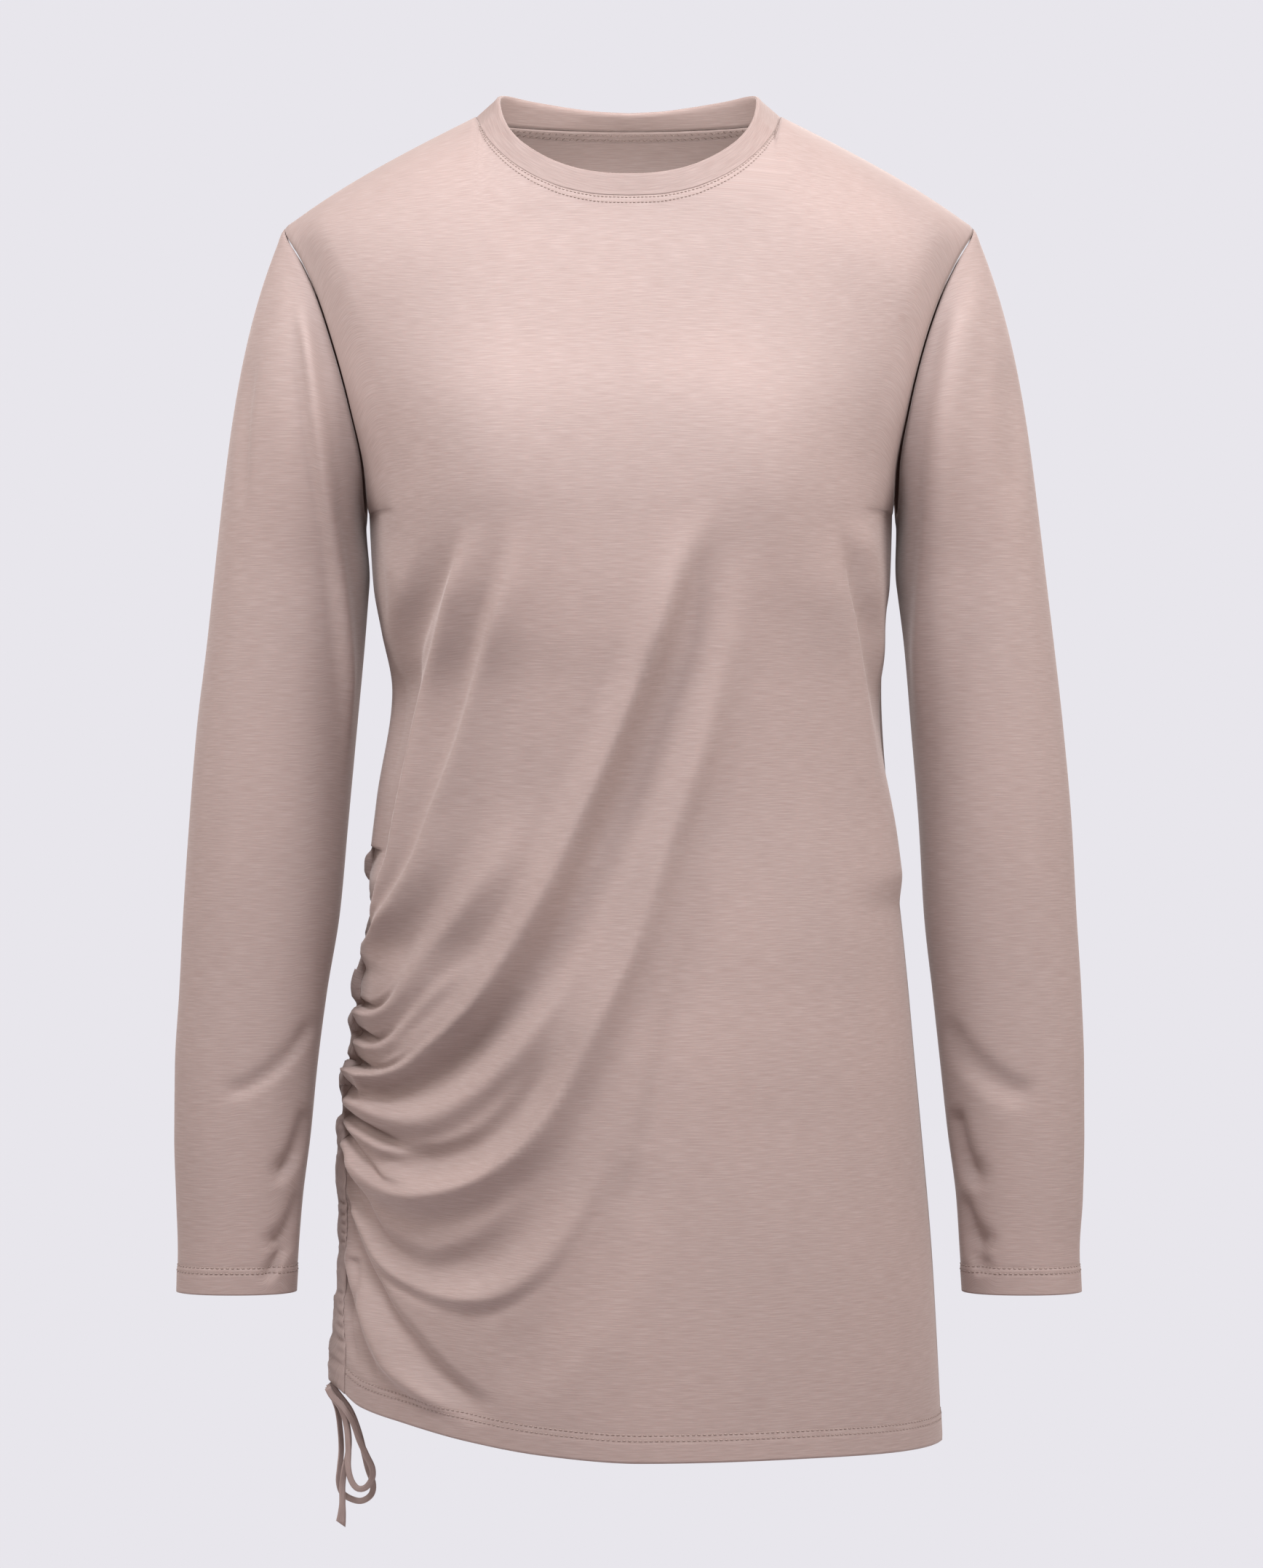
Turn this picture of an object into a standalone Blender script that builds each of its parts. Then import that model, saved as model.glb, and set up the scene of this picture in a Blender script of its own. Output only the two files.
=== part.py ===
# Long-sleeved long top in fine slubbed jersey, ruched up the wearer's right side by a drawstring.
# It keeps the filled-out form of a worn top with nobody in it, hollow all through and open at neck, cuffs
# and hem.
# +X is the wearer's left, the front faces -Y and +Z is up. The origin lies midway between the two points
# where the shoulder seams meet the neckband. Sizes are millimetres until a mesh is made.
import math

import bmesh
import bpy
import numpy as np

MM = 0.001

# Driving sizes
CLOTH = 1.2                 # wall of the jersey as built
SEAM_GAP = 0.3              # clearance between neighbouring pieces
EDGE_GAP = 0.45             # each panel's edge keeps this far from the line of its seam
SHOULDER_HALF = 194.0       # middle to sleeve head
SHOULDER_DROP = 62.0        # neck side point down to sleeve head
NECK_HALF = 86.0            # middle to neck side point
NECK_CROWN = 14.0           # how far the line of the shoulders would rise across the open neck
SHOULDER_CURVE = 0.14       # share of the shoulder's drop that comes in towards the sleeve head
SHOULDER_ROLL = 70.0        # depth of the roll from shoulder seam to flat chest
SLEEVE_HEAD_BACK = 5.0      # the shoulder seam ends this far behind the neck side point
UNDERARM = -224.0           # height of the underarm point
SLEEVE_FREE = -264.0        # height where sleeve and side part
CUFF = -659.0               # height of the sleeve's lower edge
ARMHOLE_DEPTH = 47.0        # how far the armhole bows forward and back
ARMHOLE_WIDEST = -150.0     # height where it bows most
ARMHOLE_HEAD = (88.0, 17.0) # by this far above, it bows this much less
ARMHOLE_HEAD_POWER = 1.3
ARMHOLE_BLEND = 0.3         # share of the half width over which its bow is lost in the panel
UNDERARM_SOFT = (120.0, 310.0)   # inside that share the bow dies away between these depths
BAND_WALL = 1.8             # the neckband is folded double
CHANNEL_TOP = -428.0        # the drawstring channel runs from here to the hem
CHANNEL_FOOT = -708.5
CHANNEL_FRONT = 16.0        # how far the channel reaches round to the front
CHANNEL_BACK = 9.0          # and to the back
CHANNEL_WALL = 2.4
CHANNEL_CLEAR = 1.3         # it lies this far off the panels
GATHER_PITCH = 10.5         # spacing of the channel's small gathers
GATHER_RISE = 0.8
TIE_WIDTH = 3.6             # the drawstring
PLAIN_EDGE = (18.5, 28.0)   # relief fades out between these distances from a side seam

# The picture: millimetres to a point at the depth of the side seams, the middle of the frame, and the eye
PICTURE_MM = 0.41
PICTURE_MIDDLE = (868.0, 1077.5)
EYE = (1.64, 2600.0, -375.4)

# Half widths and depths of the body down its height. Right is the wearer's right, the ruched side.
BODY_NAMES = ("z", "right", "left", "front", "back")
BODY = (
    (20, 194.0, 194.0, 50, 82),
    (-20, 194.0, 194.0, 58, 80),
    (-62, 193.9, 194.4, 68, 80),
    (-81, 184.3, 184.9, 75, 84),
    (-102, 174.2, 174.6, 82, 89),
    (-133, 163.6, 163.6, 92, 94),
    (-168, 154.0, 155.0, 105, 98),
    (-204, 146.8, 149.2, 114, 99),
    (-224, 146.0, 148.9, 116, 98),
    (-264, 143.6, 147.6, 116, 94),
    (-290, 139.0, 144.0, 114, 90),
    (-323, 133.0, 142.8, 111, 87),
    (-385, 142.0, 146.5, 108, 85),
    (-428, 146.0, 151.5, 110, 89),
    (-460, 143.5, 155.0, 112, 94),
    (-490, 151.0, 158.0, 114, 99),
    (-530, 155.0, 161.6, 117, 105),
    (-566, 161.5, 165.0, 119, 110),
    (-640, 160.8, 171.4, 124, 116),
    (-685, 165.0, 174.0, 127, 118),
    (-745, 166.0, 177.0, 129, 118),
)

# Shape of the half section: 1 - share^bow, raised to the power of side. A lower bow and a higher side give a
# pointed edge.
SECTION_NAMES = ("z", "bow", "side", "ruched_bow", "ruched_side")
SECTION = (
    (20, 2.2, 0.72, 2.2, 0.72),
    (-110, 2.2, 0.70, 2.2, 0.70),
    (-290, 2.3, 0.46, 2.3, 0.46),
    (-400, 2.3, 0.44, 2.2, 0.46),
    (-560, 2.2, 0.46, 1.6, 0.625),
    (-745, 2.2, 0.46, 1.6, 0.625),
)

# Heights of the front neck seam and of the hem from side to side
NECK_NAMES = ("across", "front")
NECK = ((0, -51.0), (14, -50.6), (34, -47.0), (49, -41.0), (60, -34.5), (71, -25.0), (80, -13.5), (86, 0.0))
HEM_NAMES = ("share", "front", "back")
HEM = (
    (-1.0, -710, -710), (-0.97, -714, -714), (-0.90, -721, -720), (-0.75, -726, -725), (-0.55, -732, -731),
    (-0.30, -737, -736), (0.0, -739.5, -739), (0.5, -739, -739), (1.0, -741.5, -741.5),
)

# Bust: one soft rise each side on a shelf that the section depths already give
BUST_ACROSS = 84.0
BUST_HEIGHT = -198.0
BUST_RISE = 9.0
BUST_SPREAD = 46.0
BUST_ABOVE = 62.0
BUST_BELOW = 44.0

# Folds. Rise is its height, negative for a hollow. Upper and lower are its half widths on the side nearer the
# ruched seam's top and on the other. Crest is 2 for a soft round one and near 1 for a pinched one. Head and
# foot are the shares of its length over which it comes in and dies out. The course is in picture points. Each
# row has them in that order.
FRONT_FOLDS = (
    (3.0, 9, 14, 1.6, 0.3, 0.2, ((533, 730), (541, 790), (545, 860), (546, 907), (541, 945))),
    (-7.0, 17, 8, 1.6, 0.35, 0.1, ((642, 722), (598, 799), (566, 875), (558, 939), (550, 1019), (534, 1130),
        (520, 1215))),
    (6.0, 7, 15, 1.2, 0.2, 0.1, ((656, 705), (633, 779), (614, 859), (592, 952), (566, 1060), (541, 1160),
        (520, 1262), (508, 1295))),
    (-5.0, 16, 12, 2.0, 0.3, 0.1, ((702, 722), (671, 799), (639, 907), (601, 1035), (575, 1150),
        (548, 1222), (534, 1262))),
    (5.0, 12, 18, 1.4, 0.25, 0.05, ((712, 708), (697, 799), (671, 907), (643, 1012), (607, 1105),
        (576, 1180), (544, 1250), (514, 1303), (494, 1328))),
    (-5.0, 18, 16, 2.0, 0.4, 0.1, ((740, 1000), (700, 1100), (660, 1170), (608, 1235), (563, 1290),
        (515, 1350))),
    (7.0, 20, 9, 1.2, 0.3, 0.05, ((712, 1090), (684, 1173), (640, 1246), (598, 1304), (553, 1355),
        (512, 1388), (490, 1383))),
    (-6.0, 10, 10, 1.6, 0.35, 0.05, ((722, 1164), (697, 1221), (659, 1269), (601, 1342), (545, 1398),
        (515, 1416), (492, 1414))),
    (4.0, 8, 7, 1.2, 0.35, 0.05, ((655, 1322), (601, 1365), (553, 1409), (518, 1435), (483, 1424))),
    (-5.0, 9, 9, 1.6, 0.35, 0.05, ((671, 1339), (608, 1406), (576, 1432), (518, 1464), (480, 1452))),
    (9.0, 18, 13, 1.4, 0.25, 0.04, ((975, 680), (926, 779), (882, 907), (834, 1022), (792, 1120),
        (754, 1212), (703, 1304), (659, 1374), (608, 1428), (550, 1468), (510, 1477), (474, 1470))),
    (-9.0, 15, 22, 2.0, 0.25, 0.05, ((1010, 700), (958, 779), (926, 875), (882, 987), (840, 1105),
        (786, 1234), (729, 1342), (659, 1425), (585, 1478), (530, 1502), (484, 1508))),
    (6.0, 14, 8, 1.4, 0.35, 0.05, ((760, 1356), (729, 1406), (684, 1473), (627, 1521), (576, 1543),
        (528, 1536), (478, 1524))),
    (-7.0, 12, 12, 2.0, 0.35, 0.2, ((775, 1430), (716, 1530), (655, 1585), (600, 1604), (556, 1592),
        (520, 1575))),
    (-5.0, 5, 9, 1.1, 0.05, 0.2, ((478, 1530), (499, 1546), (530, 1567), (564, 1582))),
    (-6.0, 8, 5, 1.2, 0.05, 0.3, ((470, 1558), (488, 1585), (507, 1609), (532, 1627), (570, 1641))),
    (9.0, 22, 16, 1.5, 0.3, 0.04, ((1020, 765), (986, 871), (951, 1015), (901, 1164), (859, 1298),
        (818, 1397), (767, 1499), (717, 1579), (663, 1630), (606, 1647), (550, 1632), (507, 1600),
        (472, 1562))),
    (-8.0, 20, 9, 1.8, 0.05, 0.35, ((474, 1590), (501, 1656), (540, 1726), (590, 1752), (660, 1735),
        (720, 1680), (780, 1590), (838, 1470))),
    (8.0, 9, 20, 1.5, 0.05, 0.35, ((470, 1630), (497, 1703), (545, 1758), (609, 1780), (676, 1780),
        (733, 1742), (778, 1675), (825, 1570), (858, 1490))),
    (-6.0, 13, 10, 1.6, 0.05, 0.2, ((472, 1672), (493, 1714), (520, 1765), (545, 1822), (590, 1880),
        (640, 1922), (690, 1945))),
    (4.5, 8, 10, 1.6, 0.05, 0.2, ((470, 1705), (494, 1775), (518, 1836), (559, 1890), (610, 1928),
        (655, 1948))),
    (-5.0, 7, 8, 1.6, 0.05, 0.2, ((464, 1745), (485, 1810), (504, 1856), (522, 1905))),
    (-4.0, 20, 22, 2.0, 0.2, 0.2, ((866, 1575), (848, 1660), (818, 1735), (775, 1805), (720, 1858),
        (650, 1872))),
    (-3.0, 6, 28, 1.6, 0.3, 0.3, ((968, 1185), (942, 1298), (907, 1435), (876, 1580), (842, 1700))),
    (4.5, 32, 6, 1.3, 0.3, 0.1, ((1149, 712), (1161, 804), (1181, 919), (1206, 1046), (1226, 1164),
        (1241, 1250))),
    (-5.0, 6, 7, 1.6, 0.2, 0.3, ((1163, 720), (1180, 830), (1197, 950), (1213, 1060), (1228, 1150))),
    (3.0, 6, 9, 1.4, 0.2, 0.3, ((1181, 705), (1192, 779), (1201, 861), (1210, 960))),
)

# Folds of the hidden back, drawn the same way on the picture plane: fewer, and swept down to the same seam
BACK_FOLDS = (
    (-6.0, 18, 14, 2.0, 0.35, 0.05, ((660, 760), (610, 900), (570, 1040), (530, 1170), (496, 1250))),
    (6.0, 12, 16, 1.5, 0.3, 0.05, ((712, 770), (668, 920), (622, 1060), (570, 1190), (500, 1300))),
    (-6.0, 16, 16, 2.0, 0.35, 0.05, ((770, 900), (716, 1050), (650, 1190), (570, 1300), (492, 1370))),
    (8.0, 18, 12, 1.5, 0.3, 0.05, ((900, 760), (838, 940), (772, 1100), (690, 1260), (590, 1380),
        (488, 1425))),
    (-7.0, 14, 18, 2.0, 0.3, 0.05, ((930, 900), (862, 1080), (780, 1250), (680, 1390), (580, 1465),
        (482, 1482))),
    (8.0, 20, 14, 1.5, 0.3, 0.05, ((984, 860), (930, 1050), (850, 1260), (752, 1430), (640, 1530),
        (552, 1556), (474, 1540))),
    (-7.0, 16, 10, 1.8, 0.05, 0.35, ((474, 1580), (530, 1650), (610, 1676), (706, 1620), (800, 1500))),
    (7.0, 9, 18, 1.5, 0.05, 0.35, ((470, 1618), (530, 1706), (620, 1730), (720, 1690), (812, 1560))),
    (-5.0, 12, 12, 1.8, 0.05, 0.25, ((470, 1670), (520, 1770), (600, 1842), (700, 1860))),
    (4.0, 9, 12, 1.6, 0.05, 0.25, ((466, 1720), (516, 1822), (596, 1892), (680, 1912))),
)

# Sleeves in picture points: the sleeve's height in the picture, its outer and its inner edge there
SLEEVE_RIGHT = (
    (805, 294.0, 507.5), (890, 285.0, 501.0), (1000, 272.0, 491.0), (1128, 262.0, 479.5),
    (1255, 254.0, 468.0), (1360, 249.0, 451.0), (1462, 243.5, 438.0), (1557, 243.0, 429.0),
    (1643, 246.0, 418.5), (1714, 248.5, 413.0), (1775, 247.5, 409.5),
)
SLEEVE_LEFT = (
    (805, 1438.0, 1232.5), (890, 1448.0, 1243.0), (1000, 1460.0, 1252.0), (1128, 1471.0, 1262.0),
    (1255, 1477.5, 1269.0), (1367, 1484.0, 1281.0), (1462, 1487.0, 1291.0), (1548, 1487.0, 1300.0),
    (1643, 1484.5, 1312.0), (1714, 1480.0, 1316.5), (1775, 1482.0, 1320.5),
)
# Depth of the sleeve down its height, and how far its middle hangs forward
SLEEVE_DEPTH_NAMES = ("z", "deep", "forward")
SLEEVE_DEPTH = (
    (-264, 47.0, 0.0), (-330, 44.0, 2.0), (-400, 40.0, 5.0), (-480, 35.0, 8.0), (-560, 31.0, 12.0),
    (-620, 27.5, 15.0), (-660, 26.0, 16.0),
)
SLEEVE_SQUARE = 0.88        # below 1, the sleeve's rings are a little squarer than an ellipse
# The way the sleeve leaves the armhole, from its head (0 degrees) round the front to the underarm
LEAVE_NAMES = ("around", "out", "forward", "down", "clear")
LEAVE = (
    (0, 0.36, 0.0, 0.93, 0.4), (30, 0.42, 0.28, 0.86, 0.4), (60, 0.50, 0.50, 0.70, 0.4),
    (90, 0.50, 0.56, 0.66, 0.5), (120, 0.45, 0.48, 0.75, 1.0), (150, 0.30, 0.24, 0.92, 1.7),
    (180, 0.06, 0.0, 1.0, 1.9),
)
SLEEVE_FOLDS_RIGHT = (
    (6.0, 20, 10, 1.4, 0.15, 0.3, ((410, 385), (421, 480), (431, 575), (446, 690), (462, 800), (471, 900),
        (477, 1000), (474, 1090))),
    (-2.5, 5, 12, 1.6, 0.3, 0.3, ((352, 470), (338, 560), (334, 640), (330, 720))),
    (-3.0, 8, 12, 1.6, 0.2, 0.2, ((440, 1395), (400, 1450), (350, 1490), (300, 1510))),
    (-5.0, 10, 6, 1.4, 0.1, 0.3, ((433, 1525), (418, 1567), (403, 1596), (372, 1630))),
    (-4.5, 8, 6, 1.4, 0.1, 0.3, ((420, 1640), (406, 1676), (388, 1700), (360, 1718))),
    (-3.0, 6, 5, 1.4, 0.1, 0.3, ((414, 1690), (384, 1728), (362, 1768))),
)
SLEEVE_FOLDS_LEFT = (
    (6.0, 10, 20, 1.4, 0.15, 0.3, ((1322, 370), (1309, 476), (1297, 579), (1287, 696), (1277, 820),
        (1268, 960), (1262, 1060))),
    (-2.5, 12, 5, 1.6, 0.3, 0.3, ((1378, 470), (1392, 560), (1396, 640), (1400, 720))),
    (-3.0, 12, 8, 1.6, 0.2, 0.2, ((1290, 1395), (1330, 1450), (1380, 1490), (1430, 1510))),
    (-5.0, 6, 10, 1.4, 0.1, 0.3, ((1301, 1525), (1318, 1586), (1337, 1615), (1362, 1632))),
    (-4.5, 6, 8, 1.4, 0.1, 0.3, ((1311, 1645), (1326, 1678), (1343, 1701), (1368, 1720))),
    (-3.0, 5, 6, 1.4, 0.1, 0.3, ((1316, 1690), (1334, 1714), (1358, 1756))),
)

# Neckband by direction round the neck, 0 at the front and 180 at the back: its width and how steep it stands
BAND_NAMES = ("around", "width", "stands")
BAND = (
    (0, 12.0, 74), (50, 12.5, 62), (80, 16.5, 39), (95, 18.5, 38), (112, 19.0, 50), (140, 15.0, 52),
    (180, 12.0, 45),
)

# The band's section from its upper edge to its seam: share of the width, and how far it puffs out
BAND_SECTION = ((1.0, 0.0), (0.66, 0.5), (0.33, 0.5), (0.0, 0.0))
BAND_GAP = 0.45             # its seam keeps this far from the panels'

# The drawstring's three stretches, each a route from the channel's foot, in millimetres
TIES = (
    ("drawstring_tail", (
        (-168.4, -13.0, -712.5), (-166.0, -13.0, -717.5), (-161.5, -13.2, -724), (-158.2, -13.4, -732),
        (-156.8, -13.6, -742), (-157.3, -13.8, -751), (-159.2, -14.0, -759), (-160.4, -14.0, -768),
        (-160.4, -14.0, -777), (-160.7, -14.0, -784), (-161.4, -14.0, -790))),
    ("drawstring_loop_front", (
        (-168.2, -21.8, -712.8), (-165.6, -21.8, -717.5), (-159.5, -21.8, -723.5), (-154.0, -21.8, -732),
        (-150.4, -21.6, -742), (-146.6, -21.2, -750.5), (-143.4, -20.8, -757.5), (-143.4, -20.4, -763.5),
        (-146.8, -20.0, -768.6), (-151.4, -19.7, -769.4), (-155.0, -19.3, -765.2),
        (-156.9, -18.9, -757.5), (-156.8, -18.5, -747), (-157.8, -18.2, -735), (-161.0, -17.8, -725),
        (-166.2, -17.5, -718), (-168.4, -17.4, -712.8))),
    ("drawstring_loop_back", (
        (-168.6, -8.6, -712.5), (-166.8, -8.4, -718), (-163.6, -8.2, -727), (-162.0, -8.0, -738),
        (-161.4, -8.0, -749), (-162.2, -8.0, -759), (-162.8, -8.0, -767), (-160.8, -8.0, -773.6),
        (-155.2, -8.0, -777.2), (-149.6, -7.8, -778.0), (-144.6, -7.6, -774.6), (-143.6, -7.2, -768.6),
        (-146.4, -6.6, -760.5), (-149.0, -6.0, -750), (-152.0, -5.4, -739), (-156.4, -4.8, -728),
        (-162.6, -4.2, -719.5), (-168.4, -4.0, -712.5))),
)
FOLD_LIFT = 1.3             # the traced heights read flat in plain cloth of this wall, so all are raised
FOLD_LEAST = 10.5           # no fold is narrower than the mesh can carry
TIE_STEP = 9.0              # distance between the points of a tie's tube

# How finely each piece is laid out
ARCH_ROWS = 6
YOKE_SHARES = (0.20, 0.40, 0.58, 0.74, 0.87, 0.96, 1.0)
FRONT_DROP = ((-400, 9), (-700, 31), (None, 3))
BACK_DROP = ((-400, 5), (-690, 13), (None, 2))
# Columns from the ruched side to the neck side, the middle, the other neck side and the other edge
FRONT_COLUMNS = (15, 10, 7, 8)
BACK_COLUMNS = (6, 4, 4, 4)
COLUMN_CROWDING = 1.3            # above 1, columns draw together towards the side seams
SLEEVE_CAP_RINGS = 7
SLEEVE_TUBE_RINGS = 11
COURSE_STEPS = 5

JERSEY = (0.58, 0.46, 0.42, 1.0)
JERSEY_ROUGHNESS = 0.82


def column(table, names, name):
    return np.array([row[names.index(name)] for row in table], float)


def read(table, names, name, at):
    """A smooth curve through one column of a table, which never swings past its rows."""
    xs = column(table, names, names[0])
    ys = column(table, names, name)
    order = np.argsort(xs)
    xs, ys = xs[order], ys[order]
    at = np.clip(np.asarray(at, float), xs[0], xs[-1])
    step = np.diff(xs)
    slope = np.diff(ys) / step
    tangent = np.zeros_like(ys)
    tangent[0], tangent[-1] = slope[0], slope[-1]
    same = slope[:-1] * slope[1:] > 0
    tangent[1:-1][same] = 2 * slope[:-1][same] * slope[1:][same] / (slope[:-1] + slope[1:])[same]
    cell = np.clip(np.searchsorted(xs, at, side="right") - 1, 0, len(xs) - 2)
    t = (at - xs[cell]) / step[cell]
    rise = (3 - 2 * t) * t * t
    before, after = tangent[cell] * step[cell], tangent[cell + 1] * step[cell]
    return (ys[cell] * (1 - rise) + ys[cell + 1] * rise + before * t * (1 - t) ** 2 - after * t * t * (1 - t))


def eased(value, low, high):
    t = np.clip((value - low) / (high - low), 0, 1)
    return t * t * (3 - 2 * t)


def through(points, steps):
    """A smooth curve through points, with so many steps from each to the next."""
    p = np.array(points, float)
    p = np.vstack([2 * p[0] - p[1], p, 2 * p[-1] - p[-2]])
    t = np.linspace(0, 1, steps, endpoint=False)[:, None]
    runs = [0.5 * (2 * b + (c - a) * t + (2 * a - 5 * b + 4 * c - d) * t ** 2
                   + (3 * b - a - 3 * c + d) * t ** 3)
            for a, b, c, d in zip(p[:-3], p[1:-2], p[2:-1], p[3:])]
    return np.vstack([*runs, p[-2:-1]])


def ridge_height(across):
    """The line of the shoulders, carried on over the open neck."""
    a = np.abs(across)
    slope = a - NECK_HALF
    run = SHOULDER_HALF - NECK_HALF
    over_neck = NECK_CROWN * (1 - (a / NECK_HALF) ** 2)
    straight = (1 - SHOULDER_CURVE) * slope / run
    along = -SHOULDER_DROP * (straight + SHOULDER_CURVE * (np.clip(slope, 0, None) / run) ** 3)
    return np.where(a < NECK_HALF, over_neck, along)


def armhole_bow(z, deep):
    """How far the armhole lies from the middle of the sleeve, forward or back."""
    below = (ARMHOLE_WIDEST - z) / (ARMHOLE_WIDEST - UNDERARM)
    above = np.clip((z - ARMHOLE_WIDEST) / ARMHOLE_HEAD[0], 0, 1)
    low = ARMHOLE_DEPTH * np.sqrt(np.clip(1 - below ** 2, 0, 1))
    high = ARMHOLE_DEPTH - ARMHOLE_HEAD[1] * above ** ARMHOLE_HEAD_POWER
    return np.where(z < ARMHOLE_WIDEST, low, high) * deep


class Side:
    """The front or back of the body: where a point of it lies, from its share across and its step down."""

    def __init__(self, depth, facing, neck_front, folds, deep):
        self.depth, self.facing, self.neck_front = depth, facing, neck_front
        self.folds, self.deep = folds, deep

    def top(self, share):
        across = SHOULDER_HALF * share
        neck = read(NECK, NECK_NAMES, "front", np.abs(across)) if self.neck_front else np.zeros_like(across)
        inside = np.abs(across) < NECK_HALF - 1e-6
        drop = np.where(inside, ridge_height(across) - neck, 0.0)
        return ridge_height(across), np.arccos(np.clip(1 - drop / SHOULDER_ROLL, 0, 1))

    def height(self, share, step):
        """Steps 0 to 1 roll over the shoulder, 1 to 2 go down to the underarm and 2 to 3 to the hem."""
        ridge, start = self.top(share)
        roll = start + (math.pi / 2 - start) * np.clip(step, 0, 1)
        chest = ridge - SHOULDER_ROLL * (1 - np.cos(roll))
        hem = read(HEM, HEM_NAMES, self.depth, share)
        z = np.where(step <= 1, chest, chest + (UNDERARM - chest) * np.clip(step - 1, 0, 1))
        return np.where(step <= 2, z, UNDERARM + (hem - UNDERARM) * np.clip(step - 2, 0, 1)), roll

    def across(self, share, z):
        right, left = read(BODY, BODY_NAMES, "right", z), read(BODY, BODY_NAMES, "left", z)
        return 0.5 * (left - right) + 0.5 * (left + right) * share

    def bulge(self, share, z):
        """1 at the middle of the section and 0 at its edge."""
        ruched = share < 0
        plain_bow, ruched_bow = (read(SECTION, SECTION_NAMES, name, z) for name in ("bow", "ruched_bow"))
        plain_side, ruched_side = (read(SECTION, SECTION_NAMES, name, z) for name in ("side", "ruched_side"))
        bow = np.where(ruched, ruched_bow, plain_bow)
        side = np.where(ruched, ruched_side, plain_side)
        return (1 - np.clip(np.abs(share), 0, 1) ** bow) ** side

    def plain(self, share, step):
        z, roll = self.height(share, step)
        x = self.across(share, z)
        inward = eased(1 - np.abs(share), 0, ARMHOLE_BLEND)
        soft = ARMHOLE_DEPTH * self.deep * (1 - eased(-z, *UNDERARM_SOFT))
        bow = armhole_bow(z, self.deep) * (1 - inward) + soft * inward
        reach = bow + (read(BODY, BODY_NAMES, self.depth, z) - bow) * self.bulge(share, z)
        if self.neck_front:
            lift = np.where(z > BUST_HEIGHT, BUST_ABOVE, BUST_BELOW)
            reach = reach + (BUST_RISE * np.exp(-((np.abs(x) - BUST_ACROSS) / BUST_SPREAD) ** 2)
                             * np.exp(-((z - BUST_HEIGHT) / lift) ** 2))
        seam_back = SLEEVE_HEAD_BACK * np.clip((np.abs(x) - NECK_HALF) / (SHOULDER_HALF - NECK_HALF), 0, 1)
        y = seam_back * (1 - np.sin(roll)) + self.facing * (np.sin(roll) * reach + EDGE_GAP)
        return np.stack([x, y, z], axis=-1)

    def laid(self, shares, steps):
        """The outer face of the cloth at each step down and share across, with its folds."""
        share, step = np.meshgrid(np.array(shares, float), np.array(steps, float))
        base = self.plain(share, step)
        out = normals(base) * (1 if self.facing < 0 else -1)
        fade = eased(np.abs(base[..., 1]), *PLAIN_EDGE)
        return base + out * (fade * relief(base, self.folds))[..., None]


def normals(grid):
    along = np.gradient(grid, axis=1)
    down = np.gradient(grid, axis=0)
    n = np.cross(down, along)
    return n / np.maximum(np.linalg.norm(n, axis=-1, keepdims=True), 1e-9)


def picture(points):
    """World places, as the eye sees them, in millimetres on the plane of the side seams."""
    nearer = EYE[1] / (EYE[1] + points[..., 1])
    return (points[..., 0] - EYE[0]) * nearer, (points[..., 2] - EYE[2]) * nearer


def relief(points, folds):
    """How far each point of a surface is lifted by its folds, found on the picture plane."""
    if points[..., 1].mean() > 0:
        points = points * np.array([1, -1, 1])
    x, z = picture(points)
    total = np.zeros_like(x)
    for rise, upper, lower, crest, head, foot, course in folds:
        line = (through(course, COURSE_STEPS) - PICTURE_MIDDLE) * np.array([PICTURE_MM, -PICTURE_MM])
        ends, run = line[:-1], np.diff(line, axis=0)
        length = np.linalg.norm(run, axis=1)
        gone = np.concatenate([[0], np.cumsum(length)])
        px, pz = x[..., None] - ends[:, 0], z[..., None] - ends[:, 1]
        t = np.clip((px * run[:, 0] + pz * run[:, 1]) / length ** 2, 0, 1)
        dx, dz = px - t * run[:, 0], pz - t * run[:, 1]
        apart = np.hypot(dx, dz)
        nearest = apart.argmin(axis=-1)[..., None]
        pick = [np.take_along_axis(v, nearest, -1)[..., 0] for v in (apart, t, dx, dz)]
        side = run[nearest[..., 0], 0] * pick[3] - run[nearest[..., 0], 1] * pick[2]
        share = (gone[nearest[..., 0]] + pick[1] * length[nearest[..., 0]]) / gone[-1]
        width = np.maximum(np.where(side > 0, lower, upper), FOLD_LEAST)
        bump = (1 - np.clip(pick[0] / width, 0, 1) ** crest) ** 2
        total += FOLD_LIFT * rise * bump * eased(share, 0, head) * eased(1 - share, 0, foot)
    return total


FRONT = Side("front", -1, True, FRONT_FOLDS, 1.0)
BACK = Side("back", 1, False, BACK_FOLDS, 0.94)


def shares_across(counts):
    """Columns of a body panel, closer together towards its edges, with one at each neck side point."""
    neck = NECK_HALF / SHOULDER_HALF
    outer, inner, mirrored, last = counts
    shares = [-1 + (1 - neck) * (i / outer) ** COLUMN_CROWDING for i in range(outer)]
    shares += [-neck * (1 - i / inner) for i in range(inner)]
    shares += [neck * i / mirrored for i in range(mirrored)]
    return shares + [1 - (1 - neck) * (1 - i / last) ** COLUMN_CROWDING for i in range(last + 1)]


def steps_down(drop):
    """Rows of a body panel: over the shoulder, down to the underarm, then in bands down to the hem."""
    steps = [i / ARCH_ROWS for i in range(ARCH_ROWS)] + [1.0] + [1 + s for s in YOKE_SHARES]
    start, hem = UNDERARM, HEM[-1][1]
    for end, count in drop:
        end = hem if end is None else end
        heights = [start + (end - start) * i / count for i in range(1, count + 1)]
        steps += [2 + (UNDERARM - z) / (UNDERARM - hem) for z in heights]
        start = end
    return steps


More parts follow.
